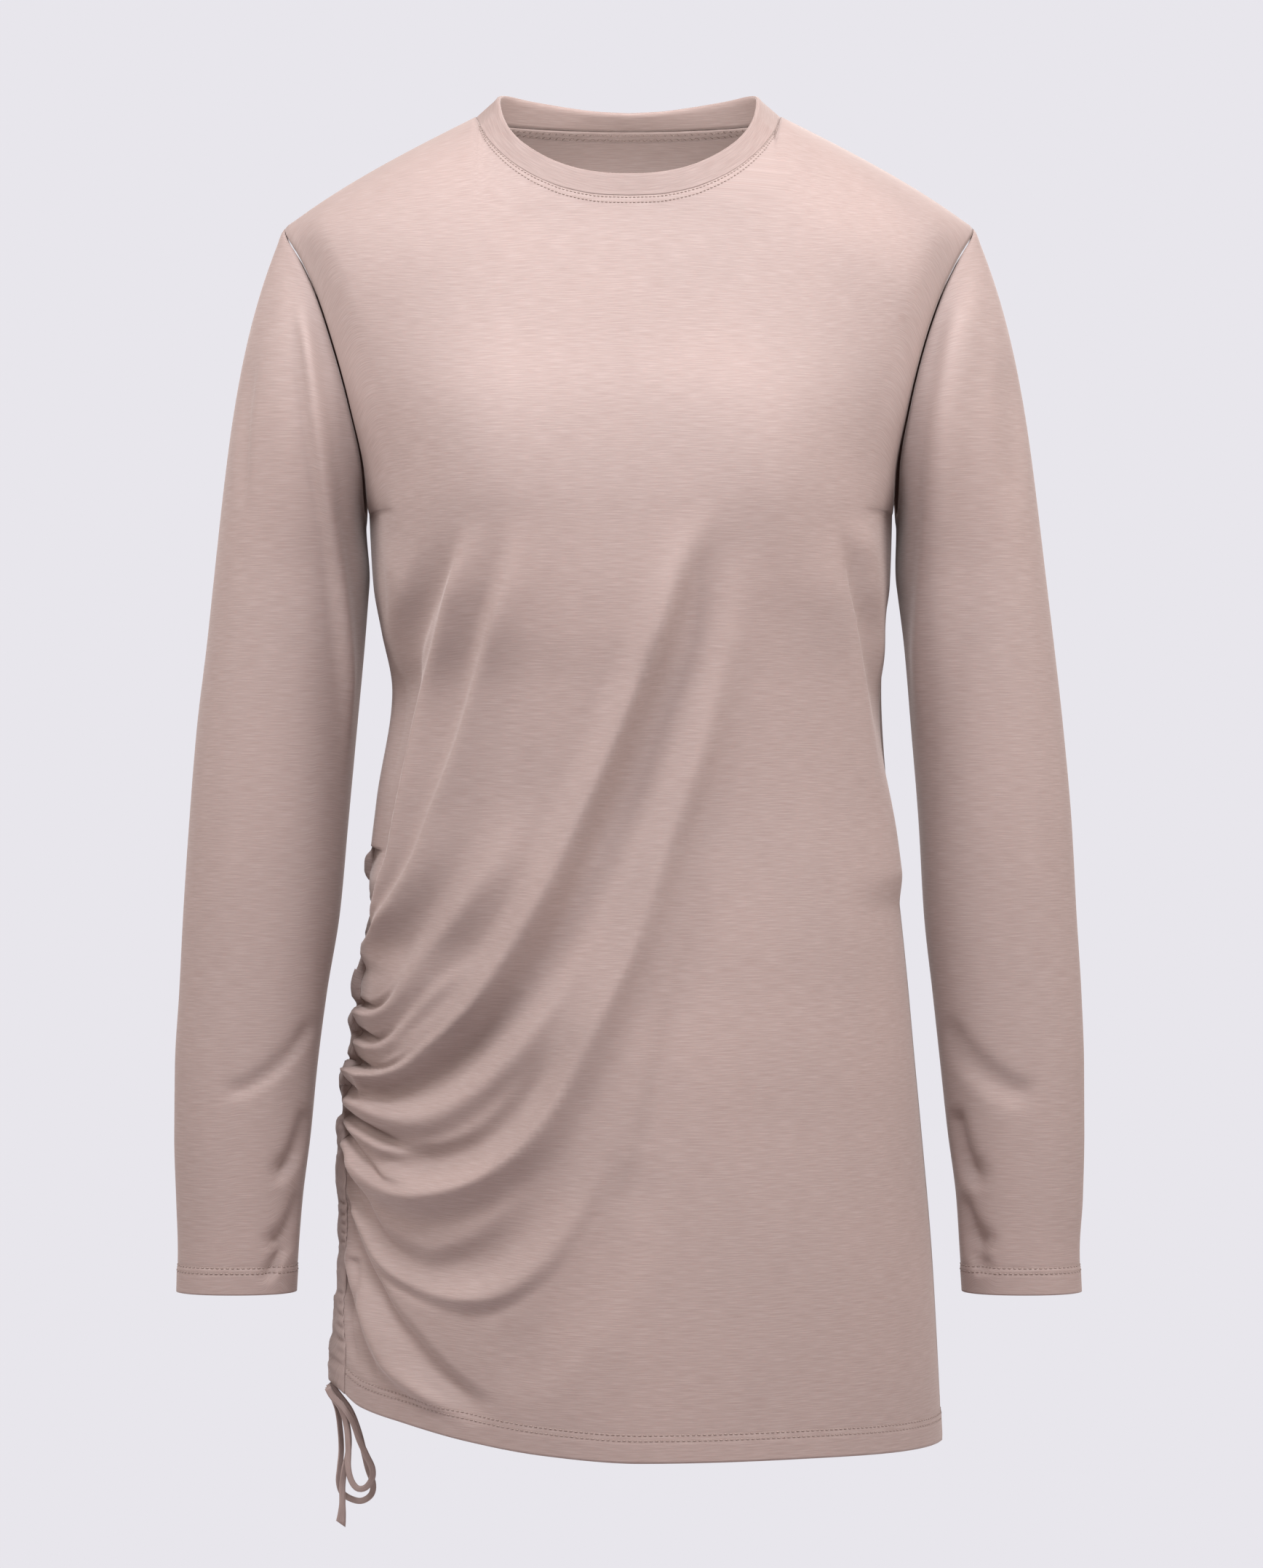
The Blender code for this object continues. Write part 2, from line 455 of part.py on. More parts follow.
def material(name):
    found = bpy.data.materials.new(name)
    found.use_nodes = True
    shader = found.node_tree.nodes["Principled BSDF"]
    shader.inputs["Base Color"].default_value = JERSEY
    shader.inputs["Roughness"].default_value = JERSEY_ROUGHNESS
    shader.inputs["Metallic"].default_value = 0.0
    return found


def finish(obj, collection):
    for other in list(obj.users_collection):
        other.objects.unlink(obj)
    collection.objects.link(obj)
    obj.data.materials.append(material(obj.name))
    return obj


def sheet(name, places, collection, outside, wall=CLOTH, grow=-1.0, tube=False):
    """A cloth wall on a grid of places, rows down and columns across. A tube's last column meets its first.
    Outside is +1 or -1, the way that faces must turn, and grow puts the wall within (-1) or outside (+1)."""
    rows, columns = places.shape[:2]
    bm = bmesh.new()
    bmesh.ops.create_grid(bm, x_segments=columns - 1, y_segments=rows - 1, size=0.5)
    for v in bm.verts:
        i = round((v.co.x + 0.5) * (columns - 1))
        j = round((0.5 - v.co.y) * (rows - 1))
        v.co = places[j, i] * MM
    if tube:
        bmesh.ops.remove_doubles(bm, verts=bm.verts[:], dist=1e-6)
    if outside < 0:
        bmesh.ops.reverse_faces(bm, faces=bm.faces[:])
    mesh = bpy.data.meshes.new(name)
    bm.to_mesh(mesh)
    bm.free()
    mesh.shade_smooth()
    obj = bpy.data.objects.new(name, mesh)
    thick = obj.modifiers.new("wall", "SOLIDIFY")
    thick.thickness = wall * MM
    thick.offset = grow
    thick.use_even_offset = True
    split = obj.modifiers.new("split", "TRIANGULATE")
    split.quad_method = "FIXED"
    return finish(obj, collection)


def seen_place(across, height):
    """World place, across and up, of a picture point at the depth of the side seams."""
    return (EYE[0] + (across - PICTURE_MIDDLE[0]) * PICTURE_MM,
            EYE[2] + (PICTURE_MIDDLE[1] - height) * PICTURE_MM)


def sleeve_tube(edges, around, z):
    """A ring of the sleeve below the underarm: outer edge at 0 degrees, front at 90, inner edge at 180."""
    rows = [(seen_place(o, h)[1], seen_place(o, h)[0], seen_place(i, h)[0]) for h, o, i in edges]
    names = ("z", "outer", "inner")
    outer, inner = read(rows, names, "outer", z), read(rows, names, "inner", z)
    deep = read(SLEEVE_DEPTH, SLEEVE_DEPTH_NAMES, "deep", z) - CLOTH
    forward = read(SLEEVE_DEPTH, SLEEVE_DEPTH_NAMES, "forward", z)
    half = 0.5 * np.abs(outer - inner) - CLOTH
    sign = np.sign(outer[0])
    c, s = np.cos(around), np.sin(around)
    x = 0.5 * (outer + inner) + sign * half * np.sign(c) * np.abs(c) ** SLEEVE_SQUARE
    y = -forward - deep * np.sign(s) * np.abs(s) ** SLEEVE_SQUARE
    return np.stack([x, y, np.broadcast_to(z, x.shape)], axis=-1)


def sleeve(name, edges, sign, folds, collection):
    """Rings from the armhole down: a cap from the armhole's plane to a level ring, then the tube."""
    steps = np.array(steps_down(()))
    share = np.full_like(steps, sign)
    front = FRONT.plain(share, steps)
    back = BACK.plain(share, steps)
    armhole = np.vstack([front[:-1], back[::-1][:-1]])
    armhole[0, 1] = SLEEVE_HEAD_BACK
    armhole[len(front) - 1, 1] = 0.0
    turn = np.arccos(np.clip(1 - 2 * (-SHOULDER_DROP - front[:, 2]) / (-SHOULDER_DROP - UNDERARM), -1, 1))
    around = np.concatenate([turn[:-1], (2 * math.pi - turn)[::-1][:-1]])
    folded = np.degrees(np.minimum(around, 2 * math.pi - around))
    facing = np.where(around <= math.pi, -1.0, 1.0)
    leave = np.stack([sign * read(LEAVE, LEAVE_NAMES, "out", folded),
                      facing * read(LEAVE, LEAVE_NAMES, "forward", folded),
                      -read(LEAVE, LEAVE_NAMES, "down", folded)], axis=-1)
    clear = read(LEAVE, LEAVE_NAMES, "clear", folded)
    start = armhole + np.array([sign, 0, 0]) * clear[:, None]
    ring = sleeve_tube(edges, around, np.full_like(around, SLEEVE_FREE))
    below = sleeve_tube(edges, around, np.full_like(around, SLEEVE_FREE - 4.0))
    chord = np.linalg.norm(ring - start, axis=1, keepdims=True)
    away = (below - ring) / np.linalg.norm(below - ring, axis=1, keepdims=True) * chord
    leave = leave / np.linalg.norm(leave, axis=1, keepdims=True) * chord
    rings = []
    for t in np.linspace(0, 1, SLEEVE_CAP_RINGS + 1)[:-1]:
        rise = (3 - 2 * t) * t * t
        rings.append(start * (1 - rise) + ring * rise + leave * t * (1 - t) ** 2 - away * t * t * (1 - t))
    for z in np.linspace(SLEEVE_FREE, CUFF, SLEEVE_TUBE_RINGS + 1):
        rings.append(sleeve_tube(edges, around, np.full_like(around, z)))
    grid = np.array(rings)
    grid = np.concatenate([grid, grid[:, :1]], axis=1)
    out = -normals(grid) * sign
    out[:, 0] = out[:, -1] = 0.5 * (out[:, 0] + out[:, -1])
    middle = grid[:, :-1].mean(axis=1, keepdims=True)
    face = (grid - middle) / np.maximum(np.linalg.norm(grid - middle, axis=-1, keepdims=True), 1e-9)
    rows = np.arange(len(grid))[:, None]
    fade = eased(rows, 0, 3) * eased(np.abs(face[..., 1]), 0.15, 0.6)
    grid = grid + out * (fade * relief(grid, folds))[..., None]
    return sheet(name, grid, collection, outside=-sign, grow=1.0, tube=True)


def neckband(collection):
    """A ring that stands up from the neck seam of both panels."""
    edges = []
    for side, counts in ((FRONT, FRONT_COLUMNS), (BACK, BACK_COLUMNS)):
        shares = np.array(shares_across(counts))
        at_neck = np.abs(shares) * SHOULDER_HALF < NECK_HALF + 0.01
        edges.append(side.laid(shares, steps_down(()))[0][at_neck])
    front, back = edges
    halves = np.linspace(0, len(back) - 1, 2 * len(back) - 1)
    back = np.stack([np.interp(halves, range(len(back)), back[:, k]) for k in range(3)], axis=-1)
    foot = np.vstack([front, back[::-1][1:-1]])
    foot[np.abs(foot[:, 1]) <= SEAM_GAP] *= np.array([1, 0, 1])
    around = np.degrees(np.arctan2(np.abs(foot[:, 0]), -foot[:, 1]))
    width = read(BAND, BAND_NAMES, "width", around)
    stands = np.radians(read(BAND, BAND_NAMES, "stands", around))
    towards = -foot * np.array([1, 1, 0])
    towards /= np.linalg.norm(towards, axis=1, keepdims=True)
    lean = towards * np.cos(stands)[:, None] + np.array([0, 0, 1]) * np.sin(stands)[:, None]
    out = -towards * np.sin(stands)[:, None] + np.array([0, 0, 1]) * np.cos(stands)[:, None]
    rows = []
    for t, puff in BAND_SECTION:
        rows.append(foot + lean * (BAND_GAP + width * t)[:, None] + out * puff)
    grid = np.array(rows)
    grid = np.concatenate([grid, grid[:, :1]], axis=1)
    return sheet("neckband", grid, collection, outside=1, wall=BAND_WALL, tube=True)


def channel(collection):
    """The shirred channel over the ruched seam: points of both panels, moved out, with a ladder of gathers."""
    count = 2 * round((CHANNEL_TOP - CHANNEL_FOOT) / GATHER_PITCH)
    hem = read(HEM, HEM_NAMES, "front", -1.0)
    rows = []
    for j in range(count + 1):
        z = CHANNEL_TOP + (CHANNEL_FOOT - CHANNEL_TOP) * j / count
        step = 2 + (UNDERARM - z) / (UNDERARM - hem)
        places = []
        for y in (-CHANNEL_FRONT, -CHANNEL_FRONT / 2, 0.0, CHANNEL_BACK):
            side = FRONT if y <= 0 else BACK
            deep = float(read(BODY, BODY_NAMES, side.depth, z))
            bow = float(read(SECTION, SECTION_NAMES, "ruched_bow", z))
            edge = float(read(SECTION, SECTION_NAMES, "ruched_side", z))
            share = -(1 - (abs(y) / deep) ** (1 / edge)) ** (1 / bow)
            place = side.plain(np.array([share, share + 1e-4]), np.array([step, step]))
            along = (place[1] - place[0]) * (-side.facing)
            out = np.cross(along, np.array([0, 0, 1.0]))
            out = out / np.linalg.norm(out)
            if abs(y) < 1e-6:
                place[0][1] = 0.0
                out = np.array([-1.0, 0, 0])
            gather = GATHER_RISE * (j % 2)
            places.append(place[0] + out * (CHANNEL_CLEAR + gather))
        rows.append(places)
    grid = np.array(rows)[:, ::-1]
    return sheet("drawstring_casing", grid, collection, outside=1, wall=CHANNEL_WALL, grow=1.0)


def tie(name, route, collection):
    line = through(route, 8)
    gone = np.concatenate([[0], np.cumsum(np.linalg.norm(np.diff(line, axis=0), axis=1))])
    marks = np.linspace(0, gone[-1], max(6, round(gone[-1] / TIE_STEP)) + 1)
    points = np.stack([np.interp(marks, gone, line[:, k]) for k in range(3)], axis=-1)
    curve = bpy.data.curves.new(name, "CURVE")
    curve.dimensions = "3D"
    curve.bevel_depth = TIE_WIDTH / 2 * MM
    curve.bevel_resolution = 2
    curve.use_fill_caps = True
    spline = curve.splines.new("POLY")
    spline.points.add(len(points) - 1)
    for point, place in zip(spline.points, points):
        point.co = (*(place * MM), 1)
    return finish(bpy.data.objects.new(name, curve), collection)


def main():
    for obj in list(bpy.data.objects):
        bpy.data.objects.remove(obj)
    top = bpy.data.collections.new("long_top")
    bpy.context.scene.collection.children.link(top)
    front = FRONT.laid(shares_across(FRONT_COLUMNS), steps_down(FRONT_DROP))
    back = BACK.laid(shares_across(BACK_COLUMNS), steps_down(BACK_DROP))
    sheet("front_panel", front, top, outside=1)
    sheet("back_panel", back, top, outside=-1)
    sleeve("sleeve_right", SLEEVE_RIGHT, -1, SLEEVE_FOLDS_RIGHT, top)
    sleeve("sleeve_left", SLEEVE_LEFT, 1, SLEEVE_FOLDS_LEFT, top)
    neckband(top)
    channel(top)
    for name, route in TIES:
        tie(name, route, top)


main()
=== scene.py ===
import math

import bpy
import numpy as np
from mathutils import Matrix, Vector


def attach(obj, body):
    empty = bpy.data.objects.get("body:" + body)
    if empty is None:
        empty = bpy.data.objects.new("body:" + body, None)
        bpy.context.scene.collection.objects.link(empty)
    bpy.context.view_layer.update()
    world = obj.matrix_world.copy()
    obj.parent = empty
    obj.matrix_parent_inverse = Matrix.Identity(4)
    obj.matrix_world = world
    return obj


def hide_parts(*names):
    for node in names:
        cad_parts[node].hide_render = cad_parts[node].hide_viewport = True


MM = 0.001
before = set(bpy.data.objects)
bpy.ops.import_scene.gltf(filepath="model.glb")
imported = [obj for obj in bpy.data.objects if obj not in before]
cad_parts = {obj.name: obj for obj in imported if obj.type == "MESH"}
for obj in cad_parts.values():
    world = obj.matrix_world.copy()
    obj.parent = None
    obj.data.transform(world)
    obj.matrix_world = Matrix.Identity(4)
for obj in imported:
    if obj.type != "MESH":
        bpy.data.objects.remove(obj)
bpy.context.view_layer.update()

# Sizes of the top, heights from the side points of the neck
CLOTH = 0.8                 # jersey
JOIN = 0.06                 # what is left between two pieces at a sewn seam
SHOULDER_HALF = 194.0
SHOULDER_DROP = 62.0
SHOULDER_CURVE = 0.14       # share of the shoulder's drop that comes in towards the sleeve head
SHOULDER_ROLL = 70.0        # the panels turn from the shoulder line to the chest over this height
NECK_HALF = 86.0
NECK_CROWN = 14.0
NECK_EDGE = 0.01            # a column this close to the neck's side point still counts as inside it
SLEEVE_HEAD_BACK = 5.0
UNDERARM = -224.0
UNDERARM_SOFT = (120.0, 310.0)      # depths over which the side's bow dies out
ARMHOLE_DEPTH = 47.0
ARMHOLE_WIDEST = -150.0     # height where it bows most
ARMHOLE_HEAD = (88.0, 17.0) # by this far above, it bows this much less
ARMHOLE_HEAD_POWER = 1.3
ARMHOLE_BLEND = 0.13        # share of the panel over which the armhole's bow gives way to the body's
SLEEVE_FREE = -264.0        # below here the sleeve hangs clear of the body
SLEEVE_SQUARE = 0.88        # below 1, the sleeve's rings are a little squarer than an ellipse
SLEEVE_FINE = 24.0          # its mesh is finer over this height above the cuff
CUFF = -659.0
HEM_DEPTH = 15.0            # turned hem, cuffs too
HEM_STEP = 0.45             # how far the doubled cloth stands out
NEEDLE_GAP = 3.0            # between the two rows of a twin stitched hem
NEEDLE_GROOVE = (0.32, 0.7) # depth and half width of the groove that a row of stitches pulls in
STITCH_PITCH = 2.9
STITCH_LONG = 1.9
STITCH_THICK = 0.85
NECK_STITCH_ROWS = (2.2, 5.3)       # below the band's seam
TIE_WIDTH = 3.6
TIE_THICK = 1.1
TIE_STEP = 1.4              # between two rings of the tie's mesh
TIE_FLARE = (9, 1.1)        # over its last rings the cut end widens by this much
TIE_SLANT = 1.6             # how far the cut leans
TIE_SECTION = (
    (-1, 0), (-0.94, 0.8), (-0.5, 1), (0, 0.86), (0.5, 1), (0.94, 0.8),
    (1, 0), (0.94, -0.8), (0.5, -1), (0, -0.86), (-0.5, -1), (-0.94, -0.8),
)

# The picture: millimetres to a point at the depth of the side seams, the middle of the frame, and the eye
PICTURE_MM = 0.41
PICTURE_MIDDLE = (868.0, 1077.5)
EYE = (1.64, 2600.0, -375.4)
SENSOR = 36.0
PICTURE_HIGH = 2155

# Half widths and depths of the body down its height. Right is the wearer's right, the ruched side.
BODY = (
    ("z", "right", "left", "front", "back"),
    (20, 194.0, 194.0, 50, 82),
    (-20, 194.0, 194.0, 58, 80),
    (-62, 193.9, 194.4, 68, 80),
    (-81, 184.3, 184.9, 75, 84),
    (-102, 174.2, 174.6, 82, 89),
    (-133, 163.6, 163.6, 92, 94),
    (-168, 154.0, 155.0, 105, 98),
    (-204, 146.8, 149.2, 112, 99),
    (-224, 146.0, 148.9, 114, 98),
    (-264, 143.6, 147.6, 115, 94),
    (-290, 139.0, 144.0, 114, 90),
    (-323, 133.0, 142.8, 111, 87),
    (-385, 142.0, 146.5, 108, 85),
    (-428, 146.0, 151.5, 110, 89),
    (-460, 143.5, 155.0, 112, 94),
    (-490, 151.0, 158.0, 114, 99),
    (-530, 155.0, 161.6, 117, 105),
    (-566, 161.5, 165.0, 119, 110),
    (-640, 160.8, 171.4, 124, 116),
    (-685, 165.0, 174.0, 127, 118),
    (-745, 166.0, 177.0, 129, 118),
)

# Shape of the half section: 1 - share^bow, raised to the power of side
SECTION = (
    ("z", "bow", "side", "ruched_bow", "ruched_side"),
    (20, 2.2, 0.72, 2.2, 0.72),
    (-110, 2.2, 0.70, 2.2, 0.70),
    (-290, 2.3, 0.46, 2.3, 0.46),
    (-400, 2.3, 0.44, 2.2, 0.46),
    (-560, 2.2, 0.46, 1.6, 0.625),
    (-745, 2.2, 0.46, 1.6, 0.625),
)

NECK = (
    ("across", "front"),
    (0, -51.0), (14, -50.6), (34, -47.0), (49, -41.0), (60, -34.5), (71, -25.0), (80, -13.5), (86, 0.0),
)
HEM = (
    ("share", "front", "back"),
    (-1.0, -710, -710), (-0.97, -714, -714), (-0.90, -721, -720), (-0.75, -726, -725), (-0.55, -732, -731),
    (-0.30, -737, -736), (0.0, -739.5, -739), (0.5, -739, -739), (1.0, -741.5, -741.5),
)

BUST_ACROSS = 84.0
BUST_HEIGHT = -198.0
BUST_RISE = 12.5
BUST_SPREAD = 42.0
BUST_ABOVE = 68.0
BUST_BELOW = 66.0

# Folds: height (a hollow is negative), half width on the upper left and on the lower right, crest from 1,
# pinched, to 2, soft, the shares of its length over which it comes in and dies out, and its course in
# picture points
FRONT_FOLDS = (
    (2.2, 9, 14, 1.6, 0.3, 0.2, ((533, 730), (541, 790), (545, 860), (546, 907), (541, 945))),
    (-7.6, 17, 9, 1.7, 0.35, 0.1, ((642, 722), (598, 799), (566, 875), (558, 939), (550, 1019), (534, 1130),
        (520, 1215))),
    (7.2, 7, 20, 1.08, 0.2, 0.1, ((656, 705), (633, 779), (614, 859), (592, 952), (566, 1060), (541, 1160),
        (520, 1262), (508, 1295))),
    (-2.2, 18, 12, 1.8, 0.4, 0.1, ((702, 722), (671, 799), (639, 907), (601, 1035), (575, 1150),
        (548, 1222), (528, 1266))),
    (7.3, 10, 21, 1.08, 0.25, 0.03, ((712, 708), (697, 799), (671, 907), (643, 1012), (607, 1105),
        (580, 1177), (557, 1222), (540, 1254), (520, 1290), (494, 1328))),
    (-1.2, 18, 16, 2, 0.5, 0.1, ((740, 1000), (700, 1100), (660, 1170), (608, 1235), (563, 1290),
        (530, 1330))),
    (4.9, 16, 20, 1.15, 0.5, 0.02, ((716, 1078), (684, 1173), (640, 1246), (598, 1304), (555, 1362),
        (516, 1391), (486, 1388))),
    (-1.4, 14, 13, 1.8, 0.5, 0.02, ((722, 1164), (697, 1225), (659, 1279), (603, 1356), (547, 1410),
        (508, 1429), (482, 1408))),
    (3.3, 6, 8, 1.1, 0.4, 0.02, ((668, 1306), (640, 1330), (601, 1367), (552, 1418), (527, 1431),
        (503, 1435), (480, 1424))),
    (-2.9, 7, 9, 1.3, 0.5, 0.02, ((671, 1345), (620, 1406), (580, 1440), (540, 1463), (505, 1469),
        (478, 1452))),
    (9.8, 19, 14, 1.05, 0.22, 0.02, ((985, 680), (936, 779), (892, 907), (844, 1022), (800, 1120),
        (758, 1212), (706, 1308), (659, 1376), (632, 1404), (595, 1438), (560, 1463), (527, 1475),
        (496, 1473), (472, 1464))),
    (-6.2, 13, 19, 2, 0.2, 0.05, ((1020, 700), (968, 779), (936, 875), (892, 987), (850, 1105), (796, 1234),
        (736, 1342), (665, 1425), (588, 1480), (530, 1502), (480, 1506))),
    (4.9, 15, 10, 1.3, 0.4, 0.04, ((775, 1336), (738, 1406), (690, 1473), (633, 1519), (580, 1541),
        (528, 1534), (470, 1508))),
    (-5.3, 12, 14, 2, 0.35, 0.2, ((800, 1400), (735, 1510), (672, 1575), (610, 1600), (560, 1597),
        (524, 1585))),
    (10.6, 24, 16, 1.08, 0.3, 0.02, ((1036, 765), (1004, 871), (967, 1015), (917, 1164), (874, 1298),
        (830, 1397), (780, 1496), (732, 1568), (680, 1611), (640, 1631), (593, 1642), (563, 1640),
        (530, 1628), (497, 1602), (466, 1552))),
    (-6.4, 19, 15, 1.8, 0.03, 0.7, ((466, 1570), (485, 1620), (503, 1666), (520, 1700), (550, 1733),
        (590, 1753), (650, 1736), (716, 1690), (780, 1602), (838, 1480))),
    (6.0, 7, 22, 1.15, 0.03, 0.7, ((466, 1590), (478, 1634), (490, 1668), (505, 1704), (525, 1735),
        (556, 1759), (609, 1780), (676, 1784), (738, 1748), (788, 1684), (838, 1580), (872, 1500))),
    (-5.3, 12, 9, 1.4, 0.03, 0.2, ((468, 1640), (482, 1692), (500, 1738), (516, 1770), (532, 1802),
        (556, 1836), (590, 1878), (640, 1922), (690, 1945))),
    (4.6, 7, 11, 1.2, 0.03, 0.2, ((468, 1660), (480, 1730), (500, 1800), (517, 1846), (540, 1884),
        (590, 1920), (650, 1944))),
    (-3.8, 6, 8, 1.3, 0.03, 0.2, ((466, 1724), (476, 1780), (492, 1840), (508, 1876), (522, 1905))),
    (-2.0, 22, 26, 2, 0.2, 0.2, ((880, 1575), (862, 1660), (830, 1735), (785, 1805), (725, 1862),
        (650, 1880))),
    (-2.6, 4, 30, 1.3, 0.3, 0.3, ((972, 1180), (946, 1298), (911, 1435), (880, 1580), (846, 1700))),
    (5.3, 32, 6, 1.3, 0.3, 0.1, ((1149, 712), (1161, 804), (1181, 919), (1206, 1046), (1226, 1164),
        (1241, 1250))),
    (-4.4, 6, 7, 1.6, 0.2, 0.3, ((1163, 720), (1180, 830), (1197, 950), (1213, 1060), (1228, 1150))),
    (3.4, 6, 9, 1.4, 0.2, 0.3, ((1181, 705), (1192, 779), (1201, 861), (1210, 960))),
)

# Pleats that dive into the ruched seam: deep pockets over the crests, each with its lip
SEAM_PLEATS = (
    (-5.0, 4.0, 3.0, 1.4, 0.02, 0.6, ((480, 1370), (497, 1380), (512, 1385), (532, 1374), (560, 1344))),
    (-5.0, 4.0, 3.0, 1.4, 0.02, 0.6, ((476, 1406), (492, 1418), (508, 1429), (526, 1426), (552, 1410))),
    (-5.0, 4.0, 3.0, 1.4, 0.02, 0.6, ((470, 1444), (486, 1459), (503, 1469), (528, 1469), (562, 1455),
        (600, 1428))),
    (-3.0, 2.5, 2.5, 1.3, 0.05, 0.3, ((466, 1474), (480, 1490), (495, 1507))),
    (2.0, 3.0, 3.0, 1.2, 0.1, 0.2, ((504, 1476), (498, 1490), (493, 1506))),
    (-6.5, 3.5, 9.0, 1.3, 0.02, 0.45, ((464, 1518), (487, 1541), (510, 1556), (536, 1569), (572, 1582))),
    (2.5, 4.0, 5.0, 1.4, 0.05, 0.4, ((468, 1536), (490, 1557), (522, 1577), (566, 1591))),
    (-7.5, 8.0, 4.0, 1.2, 0.02, 0.5, ((464, 1538), (480, 1570), (496, 1593), (516, 1613), (540, 1627),
        (585, 1635))),
    (-3.5, 3.0, 3.5, 1.2, 0.02, 0.4, ((468, 1592), (479, 1626), (490, 1658), (506, 1694))),
    (-3.0, 2.5, 3.0, 1.2, 0.1, 0.4, ((484, 1726), (490, 1760), (495, 1810))),
    (-3.0, 3.0, 4.0, 1.2, 0.02, 0.4, ((466, 1770), (472, 1812), (482, 1852), (500, 1892))),
)

BACK_FOLDS = (
    (-6.0, 18, 14, 2.0, 0.35, 0.05, ((660, 760), (610, 900), (570, 1040), (530, 1170), (496, 1250))),
    (6.0, 12, 16, 1.5, 0.3, 0.05, ((712, 770), (668, 920), (622, 1060), (570, 1190), (500, 1300))),
    (-6.0, 16, 16, 2.0, 0.35, 0.05, ((770, 900), (716, 1050), (650, 1190), (570, 1300), (492, 1370))),
    (8.0, 18, 12, 1.5, 0.3, 0.05, ((900, 760), (838, 940), (772, 1100), (690, 1260), (590, 1380),
        (488, 1425))),
    (-7.0, 14, 18, 2.0, 0.3, 0.05, ((930, 900), (862, 1080), (780, 1250), (680, 1390), (580, 1465),
        (482, 1482))),
    (8.0, 20, 14, 1.5, 0.3, 0.05, ((984, 860), (930, 1050), (850, 1260), (752, 1430), (640, 1530),
        (552, 1556), (474, 1540))),
    (-7.0, 16, 10, 1.8, 0.05, 0.35, ((474, 1580), (530, 1650), (610, 1676), (706, 1620), (800, 1500))),
    (7.0, 9, 18, 1.5, 0.05, 0.35, ((470, 1618), (530, 1706), (620, 1730), (720, 1690), (812, 1560))),
    (-5.0, 12, 12, 1.8, 0.05, 0.25, ((470, 1670), (520, 1770), (600, 1842), (700, 1860))),
    (4.0, 9, 12, 1.6, 0.05, 0.25, ((466, 1720), (516, 1822), (596, 1892), (680, 1912))),
)

# The sleeves' outer and inner edges in picture points, down their height, and their depths
SLEEVE_RIGHT = (
    (805, 294.0, 507.5), (890, 285.0, 501.0), (1000, 272.0, 491.0), (1128, 262.0, 479.5),
    (1255, 254.0, 468.0), (1360, 249.0, 451.0), (1462, 243.5, 438.0), (1557, 243.0, 429.0),
    (1643, 246.0, 418.5), (1714, 248.5, 413.0), (1775, 247.5, 409.5),
)
SLEEVE_LEFT = (
    (805, 1438.0, 1232.5), (890, 1448.0, 1243.0), (1000, 1460.0, 1252.0), (1128, 1471.0, 1262.0),
    (1255, 1477.5, 1269.0), (1367, 1484.0, 1281.0), (1462, 1487.0, 1291.0), (1548, 1487.0, 1300.0),
    (1643, 1484.5, 1312.0), (1714, 1480.0, 1316.5), (1775, 1482.0, 1320.5),
)
SLEEVE_DEPTH = (
    ("z", "deep", "forward"),
    (-264, 47.0, 0.0), (-330, 44.0, 2.0), (-400, 40.0, 5.0), (-480, 35.0, 8.0), (-560, 31.0, 12.0),
    (-620, 27.5, 15.0), (-660, 26.0, 16.0),
)
# The way the cloth leaves the armhole, round from the shoulder, 0, to the underarm, 180
LEAVE = (
    ("around", "out", "forward", "down"),
    (0, 0.36, 0.0, 0.93), (30, 0.42, 0.28, 0.86), (60, 0.50, 0.50, 0.70), (90, 0.50, 0.56, 0.66),
    (120, 0.45, 0.48, 0.75), (150, 0.30, 0.24, 0.92), (180, 0.06, 0.0, 1.0),
)
# Room between the sleeve's head and the panels
SLEEVE_CLEAR = (("around", "clear"), (0, 0.3), (110, 0.3), (150, 1.2), (180, 1.6))
SLEEVE_FOLDS_RIGHT = (
    (6.0, 20, 10, 1.4, 0.15, 0.3, ((410, 385), (421, 480), (431, 575), (446, 690), (462, 800), (471, 900),
        (477, 1000), (474, 1090))),
    (-2.5, 5, 12, 1.6, 0.3, 0.3, ((352, 470), (338, 560), (334, 640), (330, 720))),
    (-3.0, 8, 12, 1.6, 0.2, 0.2, ((440, 1395), (400, 1450), (350, 1490), (300, 1510))),
    (-6.8, 10, 6, 1.4, 0.1, 0.3, ((433, 1525), (418, 1567), (403, 1596), (372, 1630))),
    (-6.1, 8, 6, 1.4, 0.1, 0.3, ((420, 1640), (406, 1676), (388, 1700), (360, 1718))),
    (-4.1, 6, 5, 1.4, 0.1, 0.3, ((414, 1690), (384, 1728), (362, 1768))),
)
SLEEVE_FOLDS_LEFT = (
    (6.0, 10, 20, 1.4, 0.15, 0.3, ((1322, 370), (1309, 476), (1297, 579), (1287, 696), (1277, 820),
        (1268, 960), (1262, 1060))),
    (-2.5, 12, 5, 1.6, 0.3, 0.3, ((1378, 470), (1392, 560), (1396, 640), (1400, 720))),
    (-3.0, 12, 8, 1.6, 0.2, 0.2, ((1290, 1395), (1330, 1450), (1380, 1490), (1430, 1510))),
    (-6.8, 6, 10, 1.4, 0.1, 0.3, ((1301, 1525), (1318, 1586), (1337, 1615), (1362, 1632))),
    (-6.1, 6, 8, 1.4, 0.1, 0.3, ((1311, 1645), (1326, 1678), (1343, 1701), (1368, 1720))),
    (-4.1, 5, 6, 1.4, 0.1, 0.3, ((1316, 1690), (1334, 1714), (1358, 1756))),
)

